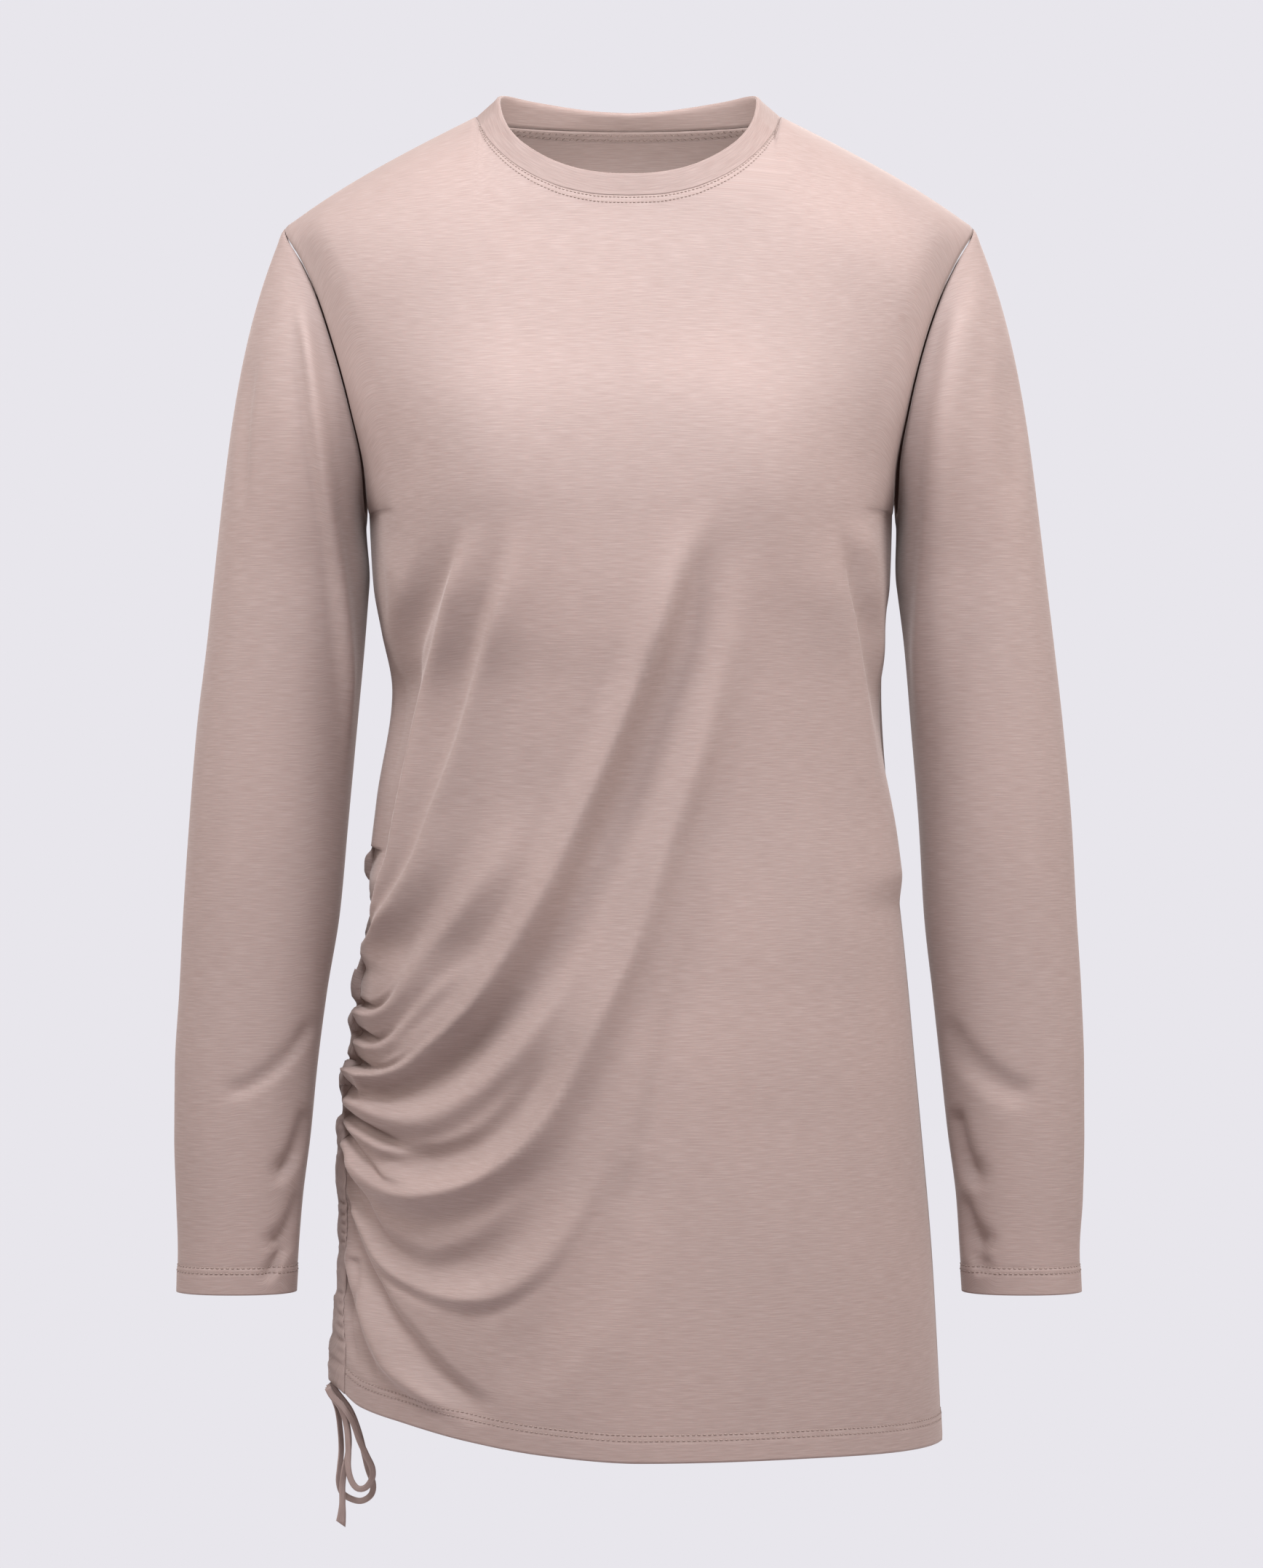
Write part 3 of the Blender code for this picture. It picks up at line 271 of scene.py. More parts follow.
# The neckband, round from the front, 0, to the back, 180: its width, and the angle at which it stands
BAND = (
    ("around", "width", "stands"),
    (0, 12.0, 74), (50, 12.5, 62), (74, 15.6, 46), (88, 17.6, 49), (102, 17.8, 53), (118, 16.2, 53),
    (136, 14.2, 51), (156, 12.6, 48), (180, 12.0, 46),
)

BAND_LAP = 1.1              # how far the band's outer face laps over the panels

# The tape inside the back neck: how far down and off the cloth its section goes, and its zigzag rows
TAPE_SECTION = ((-0.4, 0.35), (0.6, 1.0), (2.5, 1.1), (5.5, 1.1), (8.5, 1.0), (9.4, 0.35))
TAPE_SHORT = 4.0            # it ends this far inside the neck's side points
TAPE_FACE = 1.25
TAPE_ROWS = (2.7, 6.9)
ZIGZAG = 2.0

# The drawstring's three stretches, as in the solids: how each ends, how many degrees the flat tie is turned
# away from the front at its start, middle and end, and its route from the channel's foot
TIES = (
    ("drawstring_tail", "bare", (75, 30, 5), (
        (-168.4, -13.0, -712.5), (-166.0, -13.0, -717.5), (-161.5, -13.2, -724), (-158.2, -13.4, -732),
        (-156.8, -13.6, -742), (-157.3, -13.8, -751), (-159.2, -14.0, -759), (-160.4, -14.0, -768),
        (-160.4, -14.0, -777), (-160.7, -14.0, -784), (-161.4, -14.0, -790))),
    ("drawstring_loop_front", "object", (20, 10, 40), (
        (-168.2, -21.8, -712.8), (-165.6, -21.8, -717.5), (-159.5, -21.8, -723.5), (-154.0, -21.8, -732),
        (-150.4, -21.6, -742), (-146.6, -21.2, -750.5), (-143.4, -20.8, -757.5), (-143.4, -20.4, -763.5),
        (-146.8, -20.0, -768.6), (-151.4, -19.7, -769.4), (-155.0, -19.3, -765.2),
        (-156.9, -18.9, -757.5), (-156.8, -18.5, -747), (-157.8, -18.2, -735), (-161.0, -17.8, -725),
        (-166.2, -17.5, -718), (-168.4, -17.4, -712.8))),
    ("drawstring_loop_back", "object", (60, 25, 10), (
        (-168.6, -8.6, -712.5), (-166.8, -8.4, -718), (-163.6, -8.2, -727), (-162.0, -8.0, -738),
        (-161.4, -8.0, -749), (-162.2, -8.0, -759), (-162.8, -8.0, -767), (-160.8, -8.0, -773.6),
        (-155.2, -8.0, -777.2), (-149.6, -7.8, -778.0), (-144.6, -7.6, -774.6), (-143.6, -7.2, -768.6),
        (-146.4, -6.6, -760.5), (-149.0, -6.0, -750), (-152.0, -5.4, -739), (-156.4, -4.8, -728),
        (-162.6, -4.2, -719.5), (-168.4, -4.0, -712.5))),
)

# The channel over the ruched seam: its outer edge as the front view shows it, lobe by lobe
CHANNEL_EDGE = (
    ("z", "out"),
    (-411, 145.9), (-414.5, 147.6), (-419, 148.9), (-424, 149.0), (-428, 147.2), (-432, 144.1),
    (-437, 145.3), (-446, 144.3), (-451, 146.4), (-458, 147.6), (-463, 148.5), (-464.3, 147.2),
    (-469, 149.7), (-478, 152.5), (-483, 155.4), (-489, 156.7), (-494, 156.2), (-500, 153.2), (-504, 156.6),
    (-508.4, 158.4), (-512.5, 157.4), (-517, 156.4), (-522, 157.2), (-527, 158.5), (-529.7, 157.2),
    (-535, 161.1), (-541, 163.3), (-545.3, 163.2), (-550, 162.0), (-555, 160.9), (-561, 161.5),
    (-565, 164.8), (-569, 165.2), (-573, 164.5), (-578.5, 164.0), (-592.5, 165.3), (-598, 165.2),
    (-607, 164.0), (-615, 163.4), (-625, 164.2), (-636, 163.0), (-646, 164.5), (-658, 164.2), (-666, 166.1),
    (-677, 166.4), (-684, 166.9), (-689, 168.6), (-701.5, 169.0), (-712, 169.0),
)
CHANNEL_WIDE = (
    ("z", "wide"),
    (-411, 7.0), (-556, 8.0), (-580, 13.0), (-655, 15.0), (-688, 26.0), (-715, 27.0),
)
CHANNEL_TOP = -411.0
CHANNEL_BACK = 12.0             # its width on the back panel
CHANNEL_COLUMNS = 12
CHANNEL_WIDENS = (552, 590)     # depths over which the flush strip turns into the wider stitched one
CHANNEL_CLEAR = (556, 585)      # and over which the folds keep clear of that wider one
CHANNEL_LEAST = 0.4             # it never stands out from the seam by less
TUCK_PITCH = 5.6
TUCK_DEPTH = 0.75

COURSE_STEPS = 8                # points on a fold's line from one point of its course to the next
CREST_ROUND = 2.2               # a pinched crest is rounded over this distance
GATHERING = (-156.0, -108.0)    # from the ruched seam to here across, folds widen to their full width
SEAM_WIDTHS = (4.0, 13.0)       # there a crest is steep above and gentle below, and a hollow the reverse
SEAM_FADE = (17.0, 27.0)        # distances from the plane of the side seams over which folds come in


def read(table, name, at):
    """A smooth curve through one column of a table, which never swings past its rows. The table's first row
    names its columns."""
    names, *rows = table
    xs = np.array([row[0] for row in rows], float)
    ys = np.array([row[names.index(name)] for row in rows], float)
    order = np.argsort(xs)
    xs, ys = xs[order], ys[order]
    at = np.clip(np.asarray(at, float), xs[0], xs[-1])
    step = np.diff(xs)
    slope = np.diff(ys) / step
    tangent = np.zeros_like(ys)
    tangent[0], tangent[-1] = slope[0], slope[-1]
    same = slope[:-1] * slope[1:] > 0
    tangent[1:-1][same] = 2 * slope[:-1][same] * slope[1:][same] / (slope[:-1] + slope[1:])[same]
    cell = np.clip(np.searchsorted(xs, at, side="right") - 1, 0, len(xs) - 2)
    t = (at - xs[cell]) / step[cell]
    rise = (3 - 2 * t) * t * t
    leave = tangent[cell] * step[cell] * t * (1 - t) ** 2
    arrive = tangent[cell + 1] * step[cell] * t * t * (1 - t)
    return ys[cell] * (1 - rise) + ys[cell + 1] * rise + leave - arrive


def eased(value, low, high):
    t = np.clip((value - low) / (high - low), 0, 1)
    return t * t * (3 - 2 * t)


def through(points, steps):
    """A smooth curve through points, with so many steps from each to the next."""
    p = np.array(points, float)
    p = np.vstack([2 * p[0] - p[1], p, 2 * p[-1] - p[-2]])
    t = np.linspace(0, 1, steps, endpoint=False)[:, None]
    runs = []
    for a, b, c, d in zip(p[:-3], p[1:-2], p[2:-1], p[3:]):
        bend = (2 * a - 5 * b + 4 * c - d) * t ** 2 + (3 * b - a - 3 * c + d) * t ** 3
        runs.append(0.5 * (2 * b + (c - a) * t + bend))
    return np.vstack([*runs, p[-2:-1]])


def even(line, pitch=None, count=None):
    """A polyline's points spaced evenly along it."""
    gone = np.concatenate([[0], np.cumsum(np.linalg.norm(np.diff(line, axis=0), axis=1))])
    count = count or max(2, round(gone[-1] / pitch) + 1)
    marks = np.linspace(0, gone[-1], count)
    return np.stack([np.interp(marks, gone, line[:, k]) for k in range(line.shape[1])], axis=-1)


# Camera: level with the middle of the picture, 2.6 m in front

camera_data = bpy.data.cameras.new("camera")
camera = bpy.data.objects.new("camera", camera_data)
bpy.context.scene.collection.objects.link(camera)
camera_data.sensor_fit = "VERTICAL"
camera_data.sensor_height = SENSOR
camera_data.lens = SENSOR * EYE[1] / (PICTURE_HIGH * PICTURE_MM)
camera_data.clip_end = 30
camera.location = (EYE[0] * MM, -EYE[1] * MM, EYE[2] * MM)
camera.rotation_euler = (math.pi / 2, 0, 0)
bpy.context.scene.camera = camera
bpy.context.scene.view_settings.view_transform = "Standard"


# Materials

# A Mix node's colour sockets go by number, because its other kinds have sockets of the same names
COLOUR_A = 6
COLOUR_B = 7
MIXED = 2


def linear(code):
    """An sRGB hex colour as Blender's linear values."""
    parts = [int(code[i:i + 2], 16) / 255 for i in (0, 2, 4)]
    return (*(c / 12.92 if c <= 0.04045 else ((c + 0.055) / 1.055) ** 2.4 for c in parts), 1.0)


def node(tree, kind, links=(), stops=(), **settings):
    """Adds a node. A setting named for a socket sets it and any other sets the node itself, links feed its
    sockets, and stops are the places and colours on a colour ramp."""
    made = tree.nodes.new(kind)
    for name, value in settings.items():
        socket = made.inputs.get(name.replace("_", " "))
        if socket is not None:
            socket.default_value = value
        else:
            setattr(made, name, value)
    for socket, source in dict(links).items():
        tree.links.new(source, made.inputs[socket])
    while stops and len(made.color_ramp.elements) < len(stops):
        made.color_ramp.elements.new(0.5)
    for place, stop in enumerate(stops):
        made.color_ramp.elements[place].position = stop[0]
        made.color_ramp.elements[place].color = linear(stop[1])
    return made


def jersey(name, light, middle, deep, slub=1.0):
    """Viscose slub jersey, knitted from yarn of uneven thickness. The thick stretches of yarn show as short
    level streaks, some pinker and some greyer, and the smooth fibre gives a soft sheen on turning cloth. Its
    loops are 0.35 mm across, too fine to show, so the grain is drawn three times as coarse, and a streak is
    0.6 mm by 12."""
    material = bpy.data.materials.new(name)
    material.use_nodes = True
    tree = material.node_tree
    shader = tree.nodes["Principled BSDF"]
    cloth = node(tree, "ShaderNodeUVMap", uv_map="cloth").outputs["UV"]
    streak = node(tree, "ShaderNodeMapping", {"Vector": cloth}, Scale=(80.0, 1800.0, 1.0)).outputs["Vector"]
    fleck = node(tree, "ShaderNodeMapping", {"Vector": cloth}, Scale=(260.0, 2600.0, 1.0)).outputs["Vector"]
    grain = node(tree, "ShaderNodeMapping", {"Vector": cloth}, Scale=(900.0, 1000.0, 1.0)).outputs["Vector"]
    noise = "ShaderNodeTexNoise"
    slubs = node(tree, noise, {"Vector": streak}, Scale=1.0, Detail=3.0, Roughness=0.55).outputs["Fac"]
    flecks = node(tree, noise, {"Vector": fleck}, Scale=1.0, Detail=2.0, Roughness=0.6).outputs["Fac"]
    loops = node(tree, noise, {"Vector": grain}, Scale=1.0, Detail=1.0).outputs["Fac"]
    cloud = node(tree, noise, {"Vector": cloth}, Scale=9.0, Detail=2.0).outputs["Fac"]

    # Colour: the yarn's own, then its flecks, then broad uneven dyeing
    ramp = "ShaderNodeValToRGB"
    ground = node(tree, ramp, {"Fac": slubs}, ((0.30, deep), (0.5, middle), (0.70, light))).outputs["Color"]
    pink_to_grey = ((0.36, "9c817c"), (0.5, "808080"), (0.66, "898682"))
    tint = node(tree, ramp, {"Fac": flecks}, pink_to_grey).outputs["Color"]
    dyed = node(tree, ramp, {"Fac": cloud}, ((0.35, "7b7a7b"), (0.65, "868383"))).outputs["Color"]
    overlay = {"data_type": "RGBA", "blend_type": "OVERLAY"}
    flecked = node(tree, "ShaderNodeMix", {COLOUR_A: ground, COLOUR_B: tint}, Factor=0.22 * slub, **overlay)
    yarn = flecked.outputs[MIXED]
    whole = node(tree, "ShaderNodeMix", {COLOUR_A: yarn, COLOUR_B: dyed}, Factor=0.5, **overlay)
    tree.links.new(whole.outputs[MIXED], shader.inputs["Base Color"])

    # Surface: duller on the flecks, and raised by its thick yarn and its loops
    rough = node(tree, "ShaderNodeMapRange", {"Value": flecks}, To_Min=0.62, To_Max=0.74).outputs["Result"]
    tree.links.new(rough, shader.inputs["Roughness"])
    thick = node(tree, "ShaderNodeMath", {0: slubs}, operation="MULTIPLY")
    thick.inputs[1].default_value = 0.7
    height = node(tree, "ShaderNodeMath", {0: thick.outputs[0], 1: loops}, operation="ADD").outputs[0]
    bump = node(tree, "ShaderNodeBump", {"Height": height}, Strength=0.07, Distance=0.00022)
    tree.links.new(bump.outputs["Normal"], shader.inputs["Normal"])
    shader.inputs["IOR"].default_value = 1.46
    shader.inputs["Sheen Weight"].default_value = 0.30
    shader.inputs["Sheen Roughness"].default_value = 0.42
    shader.inputs["Sheen Tint"].default_value = linear("e6d8d2")
    shader.inputs["Specular IOR Level"].default_value = 0.35
    return material


def thread(name, code):
    """Polyester sewing thread, spun and twisted, faintly glossy, a shade deeper than the cloth so that each
    stitch shows. The twist is drawn on object coordinates at 0.5 mm."""
    material = bpy.data.materials.new(name)
    material.use_nodes = True
    tree = material.node_tree
    shader = tree.nodes["Principled BSDF"]
    place = node(tree, "ShaderNodeTexCoord").outputs["Object"]
    twist = node(tree, "ShaderNodeTexNoise", {"Vector": place}, Scale=2000.0, Detail=1.0).outputs["Fac"]
    colour = node(tree, "ShaderNodeValToRGB", {"Fac": twist}, ((0.3, code[0]), (0.7, code[1])))
    tree.links.new(colour.outputs["Color"], shader.inputs["Base Color"])
    shader.inputs["Roughness"].default_value = 0.55
    shader.inputs["Sheen Weight"].default_value = 0.2
    return material


JERSEY = jersey("slub_jersey", "bca8a1", "b29d96", "aa948d")
# The neckband's cloth is the body's jersey drawn darker: painted shade on the band, not a different colour
# of cloth.
BAND_SHADED_JERSEY = jersey("band_painted_shade_jersey", "b29e97", "a8938c", "a08a83")
# The channel's and the neck tape's cloth is the body's jersey with darker middle and deep tones: painted
# shade on the channel and the tape.
STRIP_SHADED_JERSEY = jersey("strip_painted_shade_jersey", "bda9a2", "ae9a93", "9e8982")
# The ties are the same self-fabric drawn darker: painted shade on them.
TIE_SHADED_JERSEY = jersey("tie_jersey", "b7a39c", "a8938c", "98827b", slub=0.6)
THREAD = thread("polyester_thread", ("735f57", "927d75"))


# Cords: the drawstring's flat ties

def mesh_piece(name, points, faces, material, uv=None):
    """A mesh from points in millimetres, smooth, with a map of the cloth's own lengths if one is given."""
    mesh = bpy.data.meshes.new(name)
    mesh.from_pydata((np.asarray(points) * MM).tolist(), [], [list(map(int, f)) for f in faces])
    if uv is not None:
        layer = mesh.uv_layers.new(name="cloth")
        corners = np.empty(len(mesh.loops), np.int32)
        mesh.loops.foreach_get("vertex_index", corners)
        layer.data.foreach_set("uv", (np.asarray(uv)[corners] * MM).ravel())
    mesh.polygons.foreach_set("use_smooth", [True] * len(mesh.polygons))
    mesh.validate()
    obj = bpy.data.objects.new(name, mesh)
    bpy.context.scene.collection.objects.link(obj)
    mesh.materials.append(material)
    return obj


def rod_faces(rings, sides):
    """The faces of a closed rod whose points go ring by ring."""
    faces = []
    for i in range(rings - 1):
        for j in range(sides):
            after = (j + 1) % sides
            faces.append((i * sides + j, i * sides + after, (i + 1) * sides + after, (i + 1) * sides + j))
    return faces + [tuple(range(sides))[::-1], tuple(range((rings - 1) * sides, rings * sides))]


def apply_modifiers(obj):
    bpy.ops.object.select_all(action="DESELECT")
    obj.select_set(True)
    bpy.context.view_layer.objects.active = obj
    for modifier in list(obj.modifiers):
        bpy.ops.object.modifier_apply(modifier=modifier.name)


def flat_tie(name, far_end, turns, route):
    """A narrow self-fabric strip that follows its route and turns slowly on it, with plain cut ends."""
    line = even(through(route, 8), pitch=TIE_STEP)
    n = len(line)
    ahead = np.gradient(line, axis=0)
    ahead /= np.linalg.norm(ahead, axis=1, keepdims=True)
    level = np.cross(ahead, [0, 1.0, 0])
    level /= np.linalg.norm(level, axis=1, keepdims=True)
    out = np.cross(level, ahead)
    turn = np.radians(np.interp(np.linspace(0, 2, n), (0, 1, 2), turns))[:, None]
    across = level * np.cos(turn) + out * np.sin(turn)
    facing = out * np.cos(turn) - level * np.sin(turn)
    half = np.full((n, 1), TIE_WIDTH / 2)
    if far_end == "bare":
        half[-TIE_FLARE[0]:, 0] += np.linspace(0, TIE_FLARE[1], TIE_FLARE[0])
    rings = [line + across * half * a + facing * (TIE_THICK / 2) * b for a, b in TIE_SECTION]
    points = np.stack(rings, axis=1).reshape(-1, 3)
    side = np.array([a for a, _ in TIE_SECTION])
    k = len(TIE_SECTION)
    if far_end == "bare":
        points[-k:] += ahead[-1] * (side * TIE_SLANT)[:, None]
    uv = np.stack([np.repeat(np.linspace(0, TIE_STEP * n, n), k), np.tile(side * TIE_WIDTH, n)], axis=-1)
    obj = mesh_piece(name.replace("drawstring", "tie"), points, rod_faces(n, k), TIE_SHADED_JERSEY, uv)
    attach(obj, "root")
    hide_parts(name)
    return obj


for tie_name, tie_end, tie_turns, tie_route in TIES:
    flat_tie(tie_name, tie_end, tie_turns, tie_route)


# The form that the cloth takes, as in the solids

def ridge_height(across):
    """The line of the shoulders, carried on over the open neck."""
    a = np.abs(across)
    slope = a - NECK_HALF
    run = SHOULDER_HALF - NECK_HALF
    over_neck = NECK_CROWN * (1 - (a / NECK_HALF) ** 2)
    straight = (1 - SHOULDER_CURVE) * slope / run
    along = -SHOULDER_DROP * (straight + SHOULDER_CURVE * (np.clip(slope, 0, None) / run) ** 3)
    return np.where(a < NECK_HALF, over_neck, along)


def armhole_bow(z, deep):
    """How far the armhole's edge bows towards the front or the back at a height."""
    below = (ARMHOLE_WIDEST - z) / (ARMHOLE_WIDEST - UNDERARM)
    above = np.clip((z - ARMHOLE_WIDEST) / ARMHOLE_HEAD[0], 0, 1)
    low = ARMHOLE_DEPTH * np.sqrt(np.clip(1 - below ** 2, 0, 1))
    high = ARMHOLE_DEPTH - ARMHOLE_HEAD[1] * above ** ARMHOLE_HEAD_POWER
    return np.where(z < ARMHOLE_WIDEST, low, high) * deep


def normals(grid):
    along = np.gradient(grid, axis=1)
    down = np.gradient(grid, axis=0)
    n = np.cross(down, along)
    return n / np.maximum(np.linalg.norm(n, axis=-1, keepdims=True), 1e-9)


def picture(points):
    """Where the eye sees points on the picture plane, in millimetres from its middle."""
    nearer = EYE[1] / (EYE[1] + points[..., 1])
    return (points[..., 0] - EYE[0]) * nearer, (points[..., 2] - EYE[2]) * nearer


def relief(points, folds):
    """How far each point of a surface is lifted by its folds, found on the picture plane."""
    if points[..., 1].mean() > 0:
        points = points * np.array([1, -1, 1])
    x, z = picture(points)
    total = np.zeros_like(x)
    for rise, upper, lower, crest, head, foot, course in folds:
        line = (through(course, COURSE_STEPS) - PICTURE_MIDDLE) * np.array([PICTURE_MM, -PICTURE_MM])
        reach = max(upper, lower)
        low, high = line.min(axis=0) - reach, line.max(axis=0) + reach
        near = (x > low[0]) & (x < high[0]) & (z > low[1]) & (z < high[1])
        ends, run = line[:-1], np.diff(line, axis=0)
        length = np.linalg.norm(run, axis=1)
        gone = np.concatenate([[0], np.cumsum(length)])
        px, pz = x[near][:, None] - ends[:, 0], z[near][:, None] - ends[:, 1]
        t = np.clip((px * run[:, 0] + pz * run[:, 1]) / length ** 2, 0, 1)
        dx, dz = px - t * run[:, 0], pz - t * run[:, 1]
        apart = np.hypot(dx, dz)
        pick = apart.argmin(axis=-1)
        rows = np.arange(len(pick))
        apart, t, dx, dz = (v[rows, pick] for v in (apart, t, dx, dz))
        free = eased(x[near], *GATHERING)
        soft = CREST_ROUND * (0.3 + 0.7 * free)
        apart = np.hypot(apart, soft) - soft
        side = run[pick, 0] * dz - run[pick, 1] * dx
        share = (gone[pick] + t * length[pick]) / gone[-1]
        seam_upper, seam_lower = SEAM_WIDTHS if rise > 0 else SEAM_WIDTHS[::-1]
        above = np.minimum(upper, seam_upper) * (1 - free) + upper * free
        below = np.minimum(lower, seam_lower) * (1 - free) + lower * free
        width = np.where(side > 0, below, above)
        bump = (1 - np.clip(apart / width, 0, 1) ** crest) ** 2
        total[near] += rise * bump * eased(share, 0, head) * eased(1 - share, 0, foot)
    return total


class Side:
    """The front or the back of the body: where a point of it lies, by its share across and its step down."""

    def __init__(self, depth, facing, neck_front, folds, deep):
        self.depth = depth
        self.facing = facing
        self.neck_front = neck_front
        self.folds = folds
        self.deep = deep

    def top(self, share):
        across = SHOULDER_HALF * share
        neck = read(NECK, "front", np.abs(across)) if self.neck_front else np.zeros_like(across)
        inside = np.abs(across) < NECK_HALF - 1e-6
        drop = np.where(inside, ridge_height(across) - neck, 0)
        return ridge_height(across), np.arccos(np.clip(1 - drop / SHOULDER_ROLL, 0, 1))

    def height(self, share, step):
        ridge, start = self.top(share)
        roll = start + (math.pi / 2 - start) * np.clip(step, 0, 1)
        chest = ridge - SHOULDER_ROLL * (1 - np.cos(roll))
        hem = read(HEM, self.depth, share)
        z = np.where(step <= 1, chest, chest + (UNDERARM - chest) * np.clip(step - 1, 0, 1))
        return np.where(step <= 2, z, UNDERARM + (hem - UNDERARM) * np.clip(step - 2, 0, 1)), roll

    def across(self, share, z):
        right, left = read(BODY, "right", z), read(BODY, "left", z)
        return 0.5 * (left - right) + 0.5 * (left + right) * share

    def bulge(self, share, z):
        names = ("bow", "side", "ruched_bow", "ruched_side")
        bow, side, ruched_bow, ruched_side = (read(SECTION, name, z) for name in names)
        bow = np.where(share < 0, ruched_bow, bow)
        side = np.where(share < 0, ruched_side, side)
        return (1 - np.clip(np.abs(share), 0, 1) ** bow) ** side

    def plain(self, share, step):
        z, roll = self.height(share, step)
        x = self.across(share, z)
        inward = eased(1 - np.abs(share), 0, ARMHOLE_BLEND)
        soft = ARMHOLE_DEPTH * self.deep * (1 - eased(-z, *UNDERARM_SOFT))
        bow = armhole_bow(z, self.deep) * (1 - inward) + soft * inward
        reach = bow + (read(BODY, self.depth, z) - bow) * self.bulge(share, z)
        if self.neck_front:
            lift = np.where(z > BUST_HEIGHT, BUST_ABOVE, BUST_BELOW)
            reach = reach + (BUST_RISE * np.exp(-((np.abs(x) - BUST_ACROSS) / BUST_SPREAD) ** 2)
                             * np.exp(-((z - BUST_HEIGHT) / lift) ** 2))
        seam_back = SLEEVE_HEAD_BACK * np.clip((np.abs(x) - NECK_HALF) / (SHOULDER_HALF - NECK_HALF), 0, 1)
        y = seam_back * (1 - np.sin(roll)) + self.facing * (np.sin(roll) * reach + JOIN)
        return np.stack([x, y, z], axis=-1)


FRONT = Side("front", -1, True, FRONT_FOLDS + SEAM_PLEATS, 1.0)
BACK = Side("back", 1, False, BACK_FOLDS, 0.94)


def lengths(grid, axis):
    """Arc length along one axis of a grid, from its start."""
    run = np.linalg.norm(np.diff(grid, axis=axis), axis=-1)
    total = np.cumsum(run, axis=axis)
    zero = np.zeros_like(np.take(total, [0], axis=axis))
    return np.concatenate([zero, total], axis=axis)


def seam_dip(distance, depth=0.45, width=1.5, shoulder=0.2):
    """A sewn edge sinks into its seam, and the cloth beside it stands a little proud."""
    return (-depth * np.exp(-(distance / width) ** 2)
            + shoulder * np.exp(-((distance - 2.6 * width) / (1.6 * width)) ** 2))


def cloth_sheet(name, grid, outside, plain, level_row, tube=False, wall=CLOTH, material=JERSEY):
    """A thin wall on a grid of places, with a map of its own lengths for the knit to follow. Its courses
    are counted from a level row, on the form without its folds."""
    rows, columns = grid.shape[:2]
    across = lengths(grid, 1)
    across = across - across[:, columns // 2][:, None]
    down = lengths(plain, 0)
    uv = np.stack([across, down[level_row] - down], axis=-1).reshape(-1, 2)
    index = np.arange(rows * columns).reshape(rows, columns)
    a, b, c, d = index[:-1, :-1], index[1:, :-1], index[1:, 1:], index[:-1, 1:]
    quads = np.stack([a, b, c, d] if outside > 0 else [a, d, c, b], axis=-1).reshape(-1, 4)
    obj = mesh_piece(name, grid.reshape(-1, 3), quads, material, uv)
    if tube:
        weld = obj.modifiers.new("seam", "WELD")
        weld.merge_threshold = 1e-6
    thick = obj.modifiers.new("wall", "SOLIDIFY")
    thick.thickness = wall * MM
    thick.offset = -1.0
    apply_modifiers(obj)
    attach(obj, "root")
    return obj


def columns_across(counts, crowd=1.3):
    """Shares across a panel, side to side, closer together at both sides and even over the neck."""
    neck = NECK_HALF / SHOULDER_HALF
    outer, inner, mirrored, last = counts
    shares = [-1 + (1 - neck) * (i / outer) ** crowd for i in range(outer)]
    shares += [-neck * (1 - i / inner) for i in range(inner)]
    shares += [neck * i / mirrored for i in range(mirrored)]
    return np.array(shares + [1 - (1 - neck) * (1 - i / last) ** crowd for i in range(last + 1)])


def steps_down(arch, yoke, waist, skirt):
    """Steps from the neck to the hem, closer together in the skirt, where the folds gather."""
    first = np.linspace(0, 1, arch, endpoint=False)
    second = 1 + np.sin(np.linspace(0, math.pi / 2, yoke, endpoint=False))
    third = np.linspace(2, 2.38, waist, endpoint=False)
    return np.concatenate([first, second, third, np.linspace(2.38, 3, skirt)])


FRONT_SHARES = columns_across(((60, 26, 16, 18)))
FRONT_STEPS = steps_down(12, 26, 60, 240)
BACK_SHARES = columns_across(((28, 16, 14, 20)))
BACK_STEPS = steps_down(12, 20, 50, 150)

# Small puckers where the cloth is drawn up on the channel: golden-section spacing keeps them uneven
GOLDEN = 0.618034
PUCKERS_BEGIN = (405, 430)      # depths over which they come in


def puckers(distance, z, reach=22.0, top=-415.0, foot=-712.0, count=46):
    """Short creases that leave the ruched seam, each its own length and depth, and die out in the cloth."""
    total = np.zeros_like(z)
    for k in range(count):
        spot = (k * GOLDEN) % 1.0
        mood = (k * GOLDEN * GOLDEN * 7.3) % 1.0
        height = top + (foot - top) * (k + 0.5 + 0.7 * (spot - 0.5)) / count
        depth = (0.35 + 0.75 * mood) * (1 if k % 2 else -0.9)
        long = reach * (0.35 + 0.8 * spot)
        slope = 0.55 - 0.5 * (k / count)
        away = z - height - slope * distance
        fade = np.clip(1 - distance / long, 0, 1) ** 1.5
        total += depth * np.exp(-(away / (1.5 + 1.3 * spot)) ** 2) * fade
    return total


def hem_relief(above, depth=HEM_DEPTH):
    """A turned hem: twice as thick below its stitching, which sits in two shallow grooves."""
    step = HEM_STEP * (1 - eased(above, depth - 2.2, depth + 1.2))
    deep, wide = NEEDLE_GROOVE
    return step - sum(deep * np.exp(-((above - row) / wide) ** 2) for row in (depth - NEEDLE_GAP, depth))


